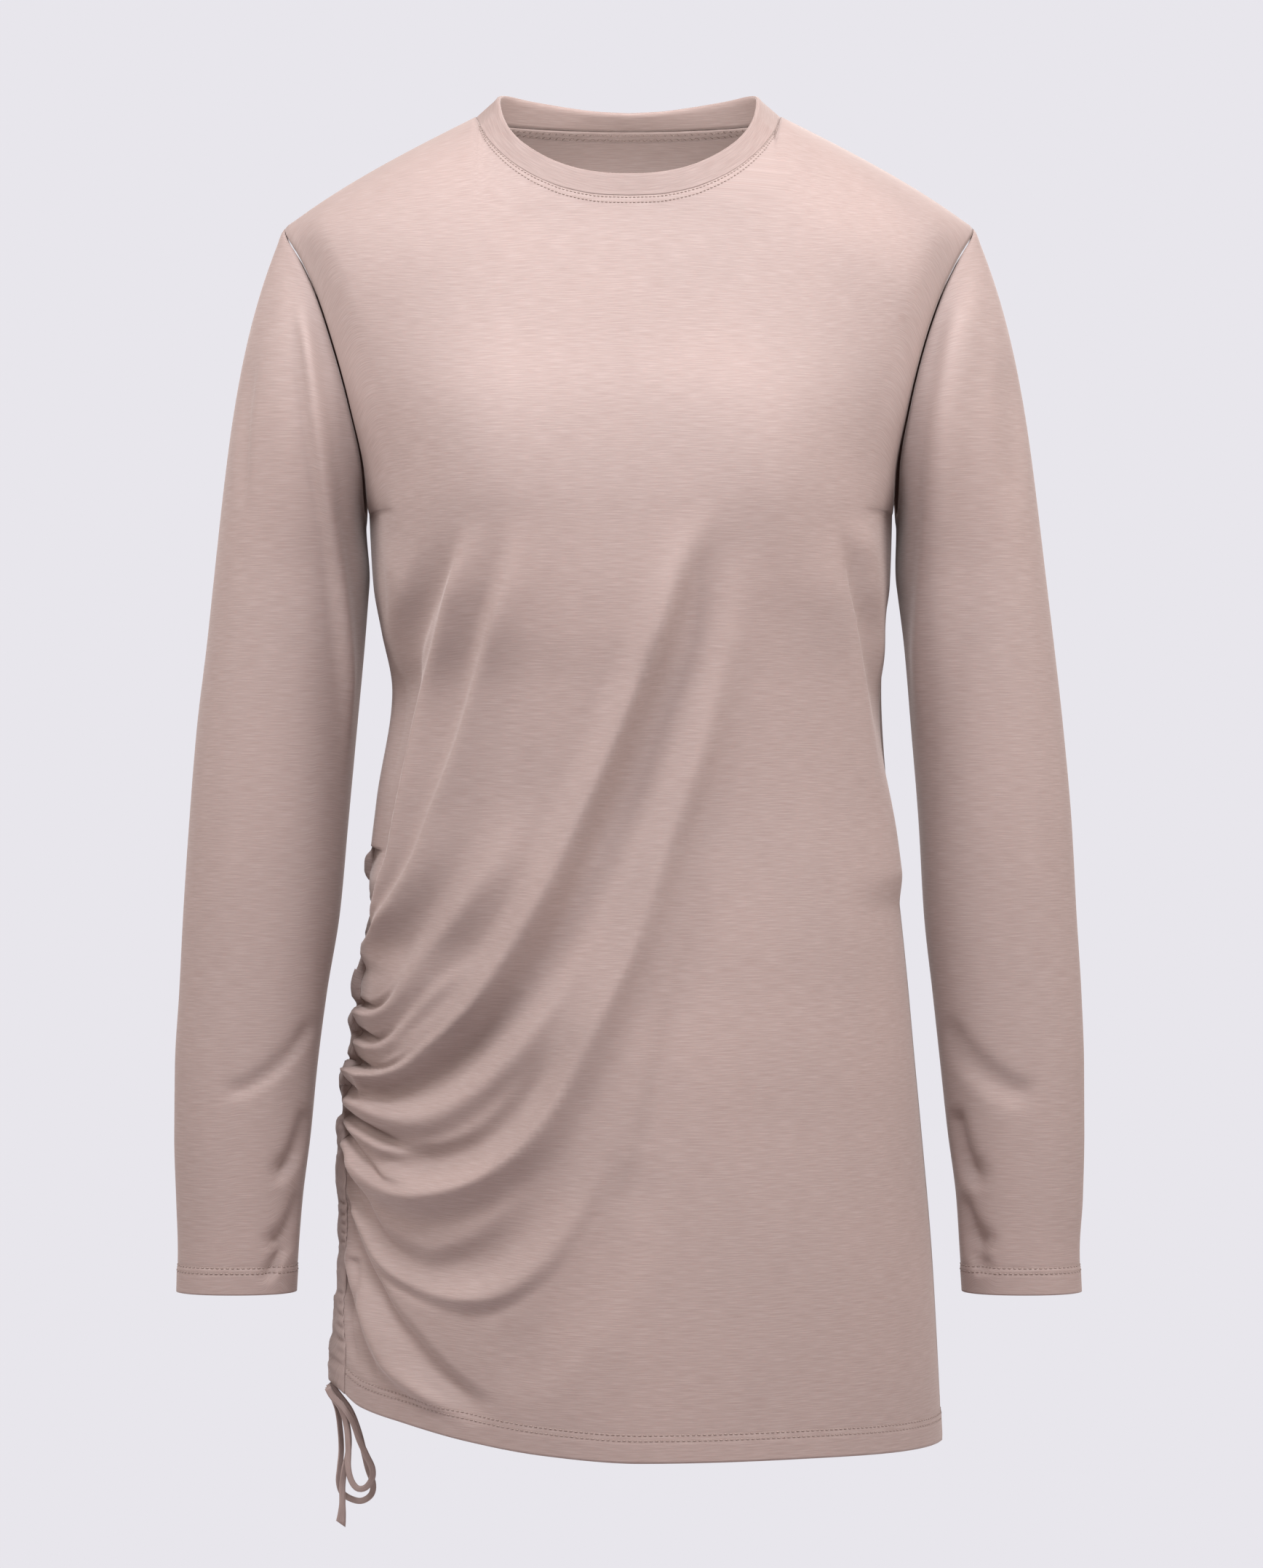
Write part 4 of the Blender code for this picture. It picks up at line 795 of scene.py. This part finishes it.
def body_panel(side, shares, steps):
    """A panel's grid with folds, seams and hem, its distances from foot and top, and its plain form."""
    share, step = np.meshgrid(shares, steps)
    base = side.plain(share, step)
    out = normals(base) * (1 if side.facing < 0 else -1)
    lift = relief(base, side.folds)
    along, down = lengths(base, 1), lengths(base, 0)
    from_right, from_left = along, along[:, -1:] - along
    fade = eased(np.abs(base[..., 1]), *SEAM_FADE)
    strip = read(CHANNEL_WIDE, "wide", base[..., 2])
    lower = eased(-base[..., 2], *CHANNEL_CLEAR)
    ruched = eased(from_right, strip * lower - 1.0, (strip + 2.0) * lower + 12.0 * (1 - lower))
    fade = np.where((share < 0) & (base[..., 2] < CHANNEL_TOP), ruched, fade)
    from_top, from_foot = down, down[-1:] - down
    neck = np.abs(share) * SHOULDER_HALF < NECK_HALF
    lift = lift * fade
    lift += seam_dip(from_right) + seam_dip(from_left)
    lift += seam_dip(from_top, depth=np.where(neck, 0.2, 0.35))
    lift += puckers(from_right, base[..., 2]) * eased(-base[..., 2], *PUCKERS_BEGIN)
    lift += hem_relief(from_foot)
    return base + out * lift[..., None], from_foot, from_top, base


front_grid, front_foot, front_top, front_base = body_panel(FRONT, FRONT_SHARES, FRONT_STEPS)
back_grid, back_foot, back_top, back_base = body_panel(BACK, BACK_SHARES, BACK_STEPS)
front_cloth = cloth_sheet("front_cloth", front_grid, 1, front_base, int(np.searchsorted(FRONT_STEPS, 2.0)))
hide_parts("front_panel")
back_cloth = cloth_sheet("back_cloth", back_grid, -1, back_base, int(np.searchsorted(BACK_STEPS, 2.0)))
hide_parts("back_panel")


# Sleeves

def sleeve_tube(edges, around, z):
    """Points round the hanging sleeve at a height, from its two edges in the picture and its depth."""
    rows = [(EYE[2] + (PICTURE_MIDDLE[1] - h) * PICTURE_MM, EYE[0] + (o - PICTURE_MIDDLE[0]) * PICTURE_MM,
             EYE[0] + (i - PICTURE_MIDDLE[0]) * PICTURE_MM) for h, o, i in edges]
    rows = [("z", "outer", "inner"), *rows]
    outer, inner = read(rows, "outer", z), read(rows, "inner", z)
    deep = read(SLEEVE_DEPTH, "deep", z)
    forward = read(SLEEVE_DEPTH, "forward", z)
    half = 0.5 * np.abs(outer - inner)
    sign = np.sign(outer[0])
    c, s = np.cos(around), np.sin(around)
    x = 0.5 * (outer + inner) + sign * half * np.sign(c) * np.abs(c) ** SLEEVE_SQUARE
    y = -forward - deep * np.sign(s) * np.abs(s) ** SLEEVE_SQUARE
    return np.stack([x, y, np.broadcast_to(z, x.shape)], axis=-1)


def armhole_edge(sign, around):
    """The armhole's points by direction round the sleeve, read from both panels' edges."""
    yoke = 1 + np.sin(np.linspace(0, math.pi / 2, 120))
    steps = np.concatenate([np.linspace(0, 1, 60, endpoint=False), yoke])
    share = np.full_like(steps, sign)
    folded = np.minimum(around, 2 * math.pi - around)
    places = []
    for side in (FRONT, BACK):
        edge = side.plain(share, steps)
        turn = np.arccos(np.clip(1 - 2 * (-SHOULDER_DROP - edge[:, 2]) / (-SHOULDER_DROP - UNDERARM), -1, 1))
        places.append(np.stack([np.interp(folded, turn, edge[:, k]) for k in range(3)], axis=-1))
    return np.where((around <= math.pi)[:, None], places[0], places[1])


def sleeve(name, edges, sign, folds, node_name):
    """A tube from the armhole, where it leaves the seam in a rounded head, down to its cuff."""
    stations = 84
    around = np.linspace(0, 2 * math.pi, stations + 1)
    start = armhole_edge(sign, around)
    start[0, 1] = start[-1, 1] = SLEEVE_HEAD_BACK
    start += np.array([sign, 0, 0]) * JOIN * 2
    folded = np.degrees(np.minimum(around, 2 * math.pi - around))
    towards = np.where(around <= math.pi, -1.0, 1.0)
    aside, ahead, fall = (read(LEAVE, way, folded) for way in ("out", "forward", "down"))
    leave = np.stack([sign * aside, towards * ahead, -fall], axis=-1)
    under = read(SLEEVE_CLEAR, "clear", folded)
    start += np.array([sign, 0, 0]) * under[:, None]
    ring = sleeve_tube(edges, around, np.full_like(around, SLEEVE_FREE))
    below = sleeve_tube(edges, around, np.full_like(around, SLEEVE_FREE - 4.0))
    chord = np.linalg.norm(ring - start, axis=1, keepdims=True)
    away = (below - ring) / np.linalg.norm(below - ring, axis=1, keepdims=True) * chord
    leave = leave / np.linalg.norm(leave, axis=1, keepdims=True) * chord
    rings = []
    cap_rings = 36
    for t in np.linspace(0, 1, cap_rings, endpoint=False) ** 1.25:
        rise = (3 - 2 * t) * t * t
        rings.append(start * (1 - rise) + ring * rise + leave * t * (1 - t) ** 2 - away * t * t * (1 - t))
    long = np.linspace(SLEEVE_FREE, CUFF + SLEEVE_FINE, 110, endpoint=False)
    fine = np.linspace(CUFF + SLEEVE_FINE, CUFF, 26)
    for z in np.concatenate([long, fine]):
        rings.append(sleeve_tube(edges, around, np.full_like(around, z)))
    grid = np.array(rings)
    out = -normals(grid) * sign
    out[:, 0] = out[:, -1] = 0.5 * (out[:, 0] + out[:, -1])
    down = lengths(grid, 0)
    foot = down[-1:] - down
    middle = grid[:, :-1].mean(axis=1, keepdims=True)
    facing = grid - middle
    facing /= np.maximum(np.linalg.norm(facing, axis=-1, keepdims=True), 1e-9)
    fade = eased(down, 0, 24) * eased(np.abs(facing[..., 1]), 0.15, 0.6)
    lift = relief(grid, folds) * fade + seam_dip(down, depth=0.4, shoulder=0.35) + hem_relief(foot)
    grid = grid + out * lift[..., None]
    grid[:, -1] = grid[:, 0]
    obj = cloth_sheet(name, grid, -sign, grid, cap_rings, tube=True)
    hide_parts(node_name)
    return obj, grid, foot


sleeve_right, right_grid, right_foot = sleeve(
    "sleeve_cloth_right", SLEEVE_RIGHT, -1, SLEEVE_FOLDS_RIGHT, "sleeve_right")
sleeve_left, left_grid, left_foot = sleeve(
    "sleeve_cloth_left", SLEEVE_LEFT, 1, SLEEVE_FOLDS_LEFT, "sleeve_left")


# Neckband

def place_on(line, distance):
    """Points on a line at distances along it. Columns after the third come with them."""
    gone = np.concatenate([[0], np.cumsum(np.linalg.norm(np.diff(line[:, :3], axis=0), axis=1))])
    return np.stack([np.interp(distance, gone, line[:, k]) for k in range(line.shape[1])], axis=-1)


def rounded(ring, spread):
    """A closed ring with its corners rounded over so many of its points."""
    reach = np.arange(-3 * spread, 3 * spread + 1)
    share = np.exp(-0.5 * (reach / spread) ** 2)
    return sum(k * np.roll(ring, int(r), axis=0) for r, k in zip(reach, share / share.sum()))


def neckband():
    """A strip folded double that stands up from the neck seam. Its outer face laps over the panels."""
    feet, laps = [], []
    for grid, shares in ((front_grid, FRONT_SHARES), (back_grid, BACK_SHARES)):
        inside = np.abs(shares) * SHOULDER_HALF < NECK_HALF + NECK_EDGE
        out = normals(grid)[0][inside] * (1 if grid is front_grid else -1)
        feet.append(grid[0][inside])
        lap = np.array([place_on(line, BAND_LAP) for line in grid[:12, inside].swapaxes(0, 1)])
        laps.append(lap + out * 0.12)
    ring = np.hstack([np.vstack([pair[0], pair[1][::-1][1:-1]]) for pair in (feet, laps)])
    ring = even(np.vstack([ring, ring[:1]]), count=200 + 1)
    foot, lap = ring[:, :3], ring[:, 3:]
    soft = np.vstack([rounded(foot[:-1], 5), np.zeros((1, 3))])
    soft[-1] = soft[0]
    around = np.degrees(np.arctan2(np.abs(foot[:, 0]), -foot[:, 1]))
    width = read(BAND, "width", around)
    stands = np.radians(read(BAND, "stands", around))
    towards = -soft * np.array([1, 1, 0])
    towards /= np.linalg.norm(towards, axis=1, keepdims=True)
    lean = towards * np.cos(stands)[:, None] + np.array([0, 0, 1]) * np.sin(stands)[:, None]
    out = -towards * np.sin(stands)[:, None] + np.array([0, 0, 1]) * np.cos(stands)[:, None]
    # Its section: up the outer face, over the fold and down the inner face
    fold = np.linspace(0.3, math.pi - 0.3, 6)
    profile = [(t, 0.55 + 0.75 * t ** 0.6) for t in np.linspace(0.06, 1, 10)]
    profile += [(1 + 0.075 * math.sin(a), 0.9 * math.cos(a) + 0.2) for a in fold]
    profile += [(t, -0.9 - 0.2 * (4 * t * (1 - t)) ** 0.7) for t in np.linspace(1, 0, 8)]
    rows = []
    for t, side in profile[::-1]:
        rise = lean * (JOIN + (width - 1.0) * t)[:, None]
        rows.append(foot + (soft - foot) * min(1, 1.2 * t) + rise + out * (side - 0.6))
    rows += [0.5 * (rows[-1] + lap) + out * 0.1, lap]
    grid = np.array(rows)
    grid[:, -1] = grid[:, 0]
    obj = cloth_sheet("neckband_cloth", grid, 1, grid, 0, tube=True, wall=0.5, material=BAND_SHADED_JERSEY)
    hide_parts("neckband")
    return obj


band_cloth = neckband()


# The shirred channel

def channel():
    """A gathered strip round the ruched seam, laid on both panels. Its outer edge has the photo's lobes.
    Above it lies flush, and below it is a wider stitched strip with small tucks."""
    near = FRONT_SHARES < -0.5
    behind = back_grid[:, BACK_SHARES < -0.5]
    heights = front_grid[:, 0, 2]
    picked = np.flatnonzero((heights < CHANNEL_TOP) & (FRONT_STEPS > 2))
    rows = []
    for i in picked:
        z = heights[i]
        back_line = np.stack([[np.interp(-z, -behind[:, j, 2], behind[:, j, k]) for k in range(3)]
                              for j in range(behind.shape[1])])
        wide = float(read(CHANNEL_WIDE, "wide", z))
        share = np.linspace(1, 0, CHANNEL_COLUMNS, endpoint=False)
        ahead = place_on(front_grid[i][near], share * wide)
        after = place_on(back_line, share[::-1] * CHANNEL_BACK)
        middle = 0.5 * (front_grid[i, 0] + back_line[0])
        rows.append(np.vstack([ahead, middle[None], after]))
    base = np.array(rows)
    w = np.linspace(-1, 1, 2 * CHANNEL_COLUMNS + 1)[None]
    z = heights[picked][:, None]
    lower = eased(-z, *CHANNEL_WIDENS)
    away = eased(-z, -CHANNEL_TOP, -CHANNEL_TOP + 5)
    seam = base[:, CHANNEL_COLUMNS:CHANNEL_COLUMNS + 1, 0]
    proud = np.maximum(read(CHANNEL_EDGE, "out", z) + seam, CHANNEL_LEAST)
    rim = JOIN + 0.55 * lower
    tuck = np.sin(2 * math.pi * (z / TUCK_PITCH + 0.6 * np.sin(z / 17.0)))
    tuck = tuck * np.clip(0.7 + 0.6 * np.sin(z / 9.0 + 1.0), 0, 1)
    lift = rim + (proud - rim) * away * (1 - np.abs(w) ** 1.6)
    lift = lift + TUCK_DEPTH * lower * tuck * np.exp(-((np.abs(w) - 0.8) / 0.2) ** 2)
    out = -normals(base)
    out[:, CHANNEL_COLUMNS] = (-1, 0, 0)
    grid = base + out * lift[..., None]
    obj = cloth_sheet("channel_cloth", grid, -1, base, 0, wall=0.7, material=STRIP_SHADED_JERSEY)
    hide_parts("drawstring_casing")
    return obj


channel_cloth = channel()


# Stitching

def row_at(grid, distance, value):
    """The line on a grid where a distance measured down each column has one value, and the normals there."""
    out = normals(grid)
    line, facing = [], []
    for i in range(grid.shape[1]):
        order = np.argsort(distance[:, i])
        at = [np.interp(value, distance[order, i], grid[order, i, k]) for k in range(3)]
        up = [np.interp(value, distance[order, i], out[order, i, k]) for k in range(3)]
        line.append(at)
        facing.append(up)
    return np.array(line), np.array(facing)


def stitches(name, rows, pitch=STITCH_PITCH, long=STITCH_LONG, thick=STITCH_THICK):
    """One mesh of small rounded stitches along lines on the cloth. The first is shaped, the rest copy it."""
    sides = 6
    stations = ((-0.5, 0.15), (-0.36, 0.8), (0.0, 1.0), (0.36, 0.8), (0.5, 0.15))
    turn = np.linspace(0, 2 * math.pi, sides, endpoint=False)
    first = np.array([(a * long, 0.5 * thick * r * math.cos(t), 0.5 * thick * r * math.sin(t) * 0.8)
                      for a, r in stations for t in turn])
    faces = rod_faces(len(stations), sides)
    points, polygons = [], []
    for line, facing in rows:
        joined = even(np.hstack([line, facing]), pitch=pitch / 2)
        ahead = np.gradient(joined[:, :3], axis=0)[1::2]
        place, up = joined[1::2, :3], joined[1::2, 3:]
        ahead /= np.maximum(np.linalg.norm(ahead, axis=1, keepdims=True), 1e-9)
        up = up / np.maximum(np.linalg.norm(up, axis=1, keepdims=True), 1e-9)
        beside = np.cross(up, ahead)
        for p, a, b, c in zip(place, ahead, beside, up):
            polygons += [tuple(v + len(points) * len(first) for v in f) for f in faces]
            points.append(p + c * (0.12 * thick) + first @ np.stack([a, b, c]))
    obj = mesh_piece(name, np.vstack(points), polygons, THREAD)
    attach(obj, "root")
    return obj


def outward(pair, towards):
    """A line's normals turned to the side that the cloth shows."""
    line, facing = pair
    flip = np.sign((facing * towards(line)).sum(axis=-1, keepdims=True))
    return line, facing * np.where(flip == 0, 1, flip)


hem_rows = []
for grid, foot in ((front_grid, front_foot), (back_grid, back_foot)):
    for depth in (HEM_DEPTH - NEEDLE_GAP, HEM_DEPTH):
        hem_rows.append(outward(row_at(grid, foot, depth), lambda line: line * np.array([0.3, 1, 0])))
hem_stitches = stitches("hem_stitches", hem_rows)

cuff_rows = []
for grid, foot in ((right_grid, right_foot), (left_grid, left_foot)):
    centre = grid[-1, :-1].mean(axis=0)
    for depth in (HEM_DEPTH - NEEDLE_GAP, HEM_DEPTH):
        row = row_at(grid, foot, depth)
        cuff_rows.append(outward(row, lambda line, centre=centre: (line - centre) * np.array([1, 1, 0])))
cuff_stitches = stitches("cuff_stitches", cuff_rows)

neck_rows = []
for grid, top, shares in ((front_grid, front_top, FRONT_SHARES), (back_grid, back_top, BACK_SHARES)):
    inside = np.abs(shares) * SHOULDER_HALF < NECK_HALF + NECK_EDGE
    for depth in NECK_STITCH_ROWS:
        row = row_at(grid[:, inside], top[:, inside], depth)
        neck_rows.append(outward(row, lambda line: line * np.array([0.2, 1, 0]) + np.array([0, 0, 40.0])))
neck_stitches = stitches("neck_stitches", neck_rows, pitch=2.2, long=1.4, thick=0.85)


def neck_tape():
    """Inside the back neck, a narrow tape over the band's seam, held by two rows of zigzag stitches."""
    inside = np.abs(BACK_SHARES) * SHOULDER_HALF < NECK_HALF - TAPE_SHORT
    columns = np.concatenate([back_grid, normals(back_grid)], axis=-1)[:40, inside].swapaxes(0, 1)

    def under(down, away):
        line = np.array([place_on(part, down) for part in columns])
        return np.hstack([line[:, :3] + line[:, 3:] * (CLOTH + away), line[:, 3:]])

    grid = np.array([even(under(down, away), count=160)[:, :3] for down, away in TAPE_SECTION])
    tape = cloth_sheet("neck_tape", grid, 1, grid, 0, wall=0.3, material=STRIP_SHADED_JERSEY)
    zigzags = []
    for down in TAPE_ROWS:
        upper = even(under(down - ZIGZAG / 2, TAPE_FACE), pitch=ZIGZAG)
        lower = even(under(down + ZIGZAG / 2, TAPE_FACE), count=len(upper))
        line = np.where((np.arange(len(upper)) % 2 == 0)[:, None], upper, lower)
        zigzags += [(leg[:, :3], leg[:, 3:]) for leg in np.stack([line[:-1], line[1:]], axis=1)]
    return tape, stitches("tape_stitches", zigzags, pitch=2.6, long=2.4, thick=0.6)


tape_cloth, tape_stitches = neck_tape()


# Floor, light and air

FLOOR = -1.40
BACKDROP = ("e8e6ec", 1.0)      # colour and strength of the studio's backdrop
BOUNCE = ("efdfd8", 0.47)       # and of the soft light that comes back from its walls


def stage_disc():
    """A plain floor, well below the garment."""
    bpy.ops.object.select_all(action="DESELECT")
    bpy.ops.mesh.primitive_circle_add(vertices=96, radius=2.4, fill_type="NGON", location=(0, 0, FLOOR))
    floor = bpy.context.object
    floor.name = "floor"
    material = bpy.data.materials.new("pale_floor")
    material.use_nodes = True
    shader = material.node_tree.nodes["Principled BSDF"]
    shader.inputs["Base Color"].default_value = linear("e9e7ed")
    shader.inputs["Roughness"].default_value = 0.9
    floor.data.materials.append(material)


def softbox(name, place, aim, size, power, colour=(1, 1, 1)):
    lamp = bpy.data.lights.new(name, "AREA")
    lamp.shape = "RECTANGLE"
    lamp.size, lamp.size_y = size
    lamp.energy = power
    lamp.color = colour
    obj = bpy.data.objects.new(name, lamp)
    bpy.context.scene.collection.objects.link(obj)
    obj.location = place
    obj.rotation_euler = (Vector(aim) - Vector(place)).to_track_quat("-Z", "Y").to_euler()
    obj.visible_camera = False


stage_disc()
softbox("key_softbox", (-0.08, -1.0, 1.0), (0, 0, -0.16), (0.6, 0.45), 30.5, (0.95, 1.0, 1.06))
softbox("right_softbox", (1.45, -0.85, 0.85), (0, 0, -0.2), (0.8, 1.0), 38)
softbox("left_softbox", (-1.45, -0.85, 0.85), (0, 0, -0.2), (0.8, 1.0), 28)
softbox("back_softbox", (0.5, 1.7, 0.9), (0, 0, -0.35), (0.9, 0.9), 13)
softbox("neck_fill", (0, -0.046, -0.062), (0, 0.045, -0.02), (0.09, 0.02), 0.16)

world = bpy.data.worlds.new("studio_air")
bpy.context.scene.world = world
world.use_nodes = True
air = world.node_tree
seen = node(air, "ShaderNodeLightPath").outputs["Is Camera Ray"]
tone = node(air, "ShaderNodeMix", {"Factor": seen}, data_type="RGBA")
tone.inputs[COLOUR_A].default_value = linear(BOUNCE[0])
tone.inputs[COLOUR_B].default_value = linear(BACKDROP[0])
level = node(air, "ShaderNodeMapRange", {"Value": seen}, To_Min=BOUNCE[1], To_Max=BACKDROP[1])
air.links.new(tone.outputs[MIXED], air.nodes["Background"].inputs["Color"])
air.links.new(level.outputs["Result"], air.nodes["Background"].inputs["Strength"])
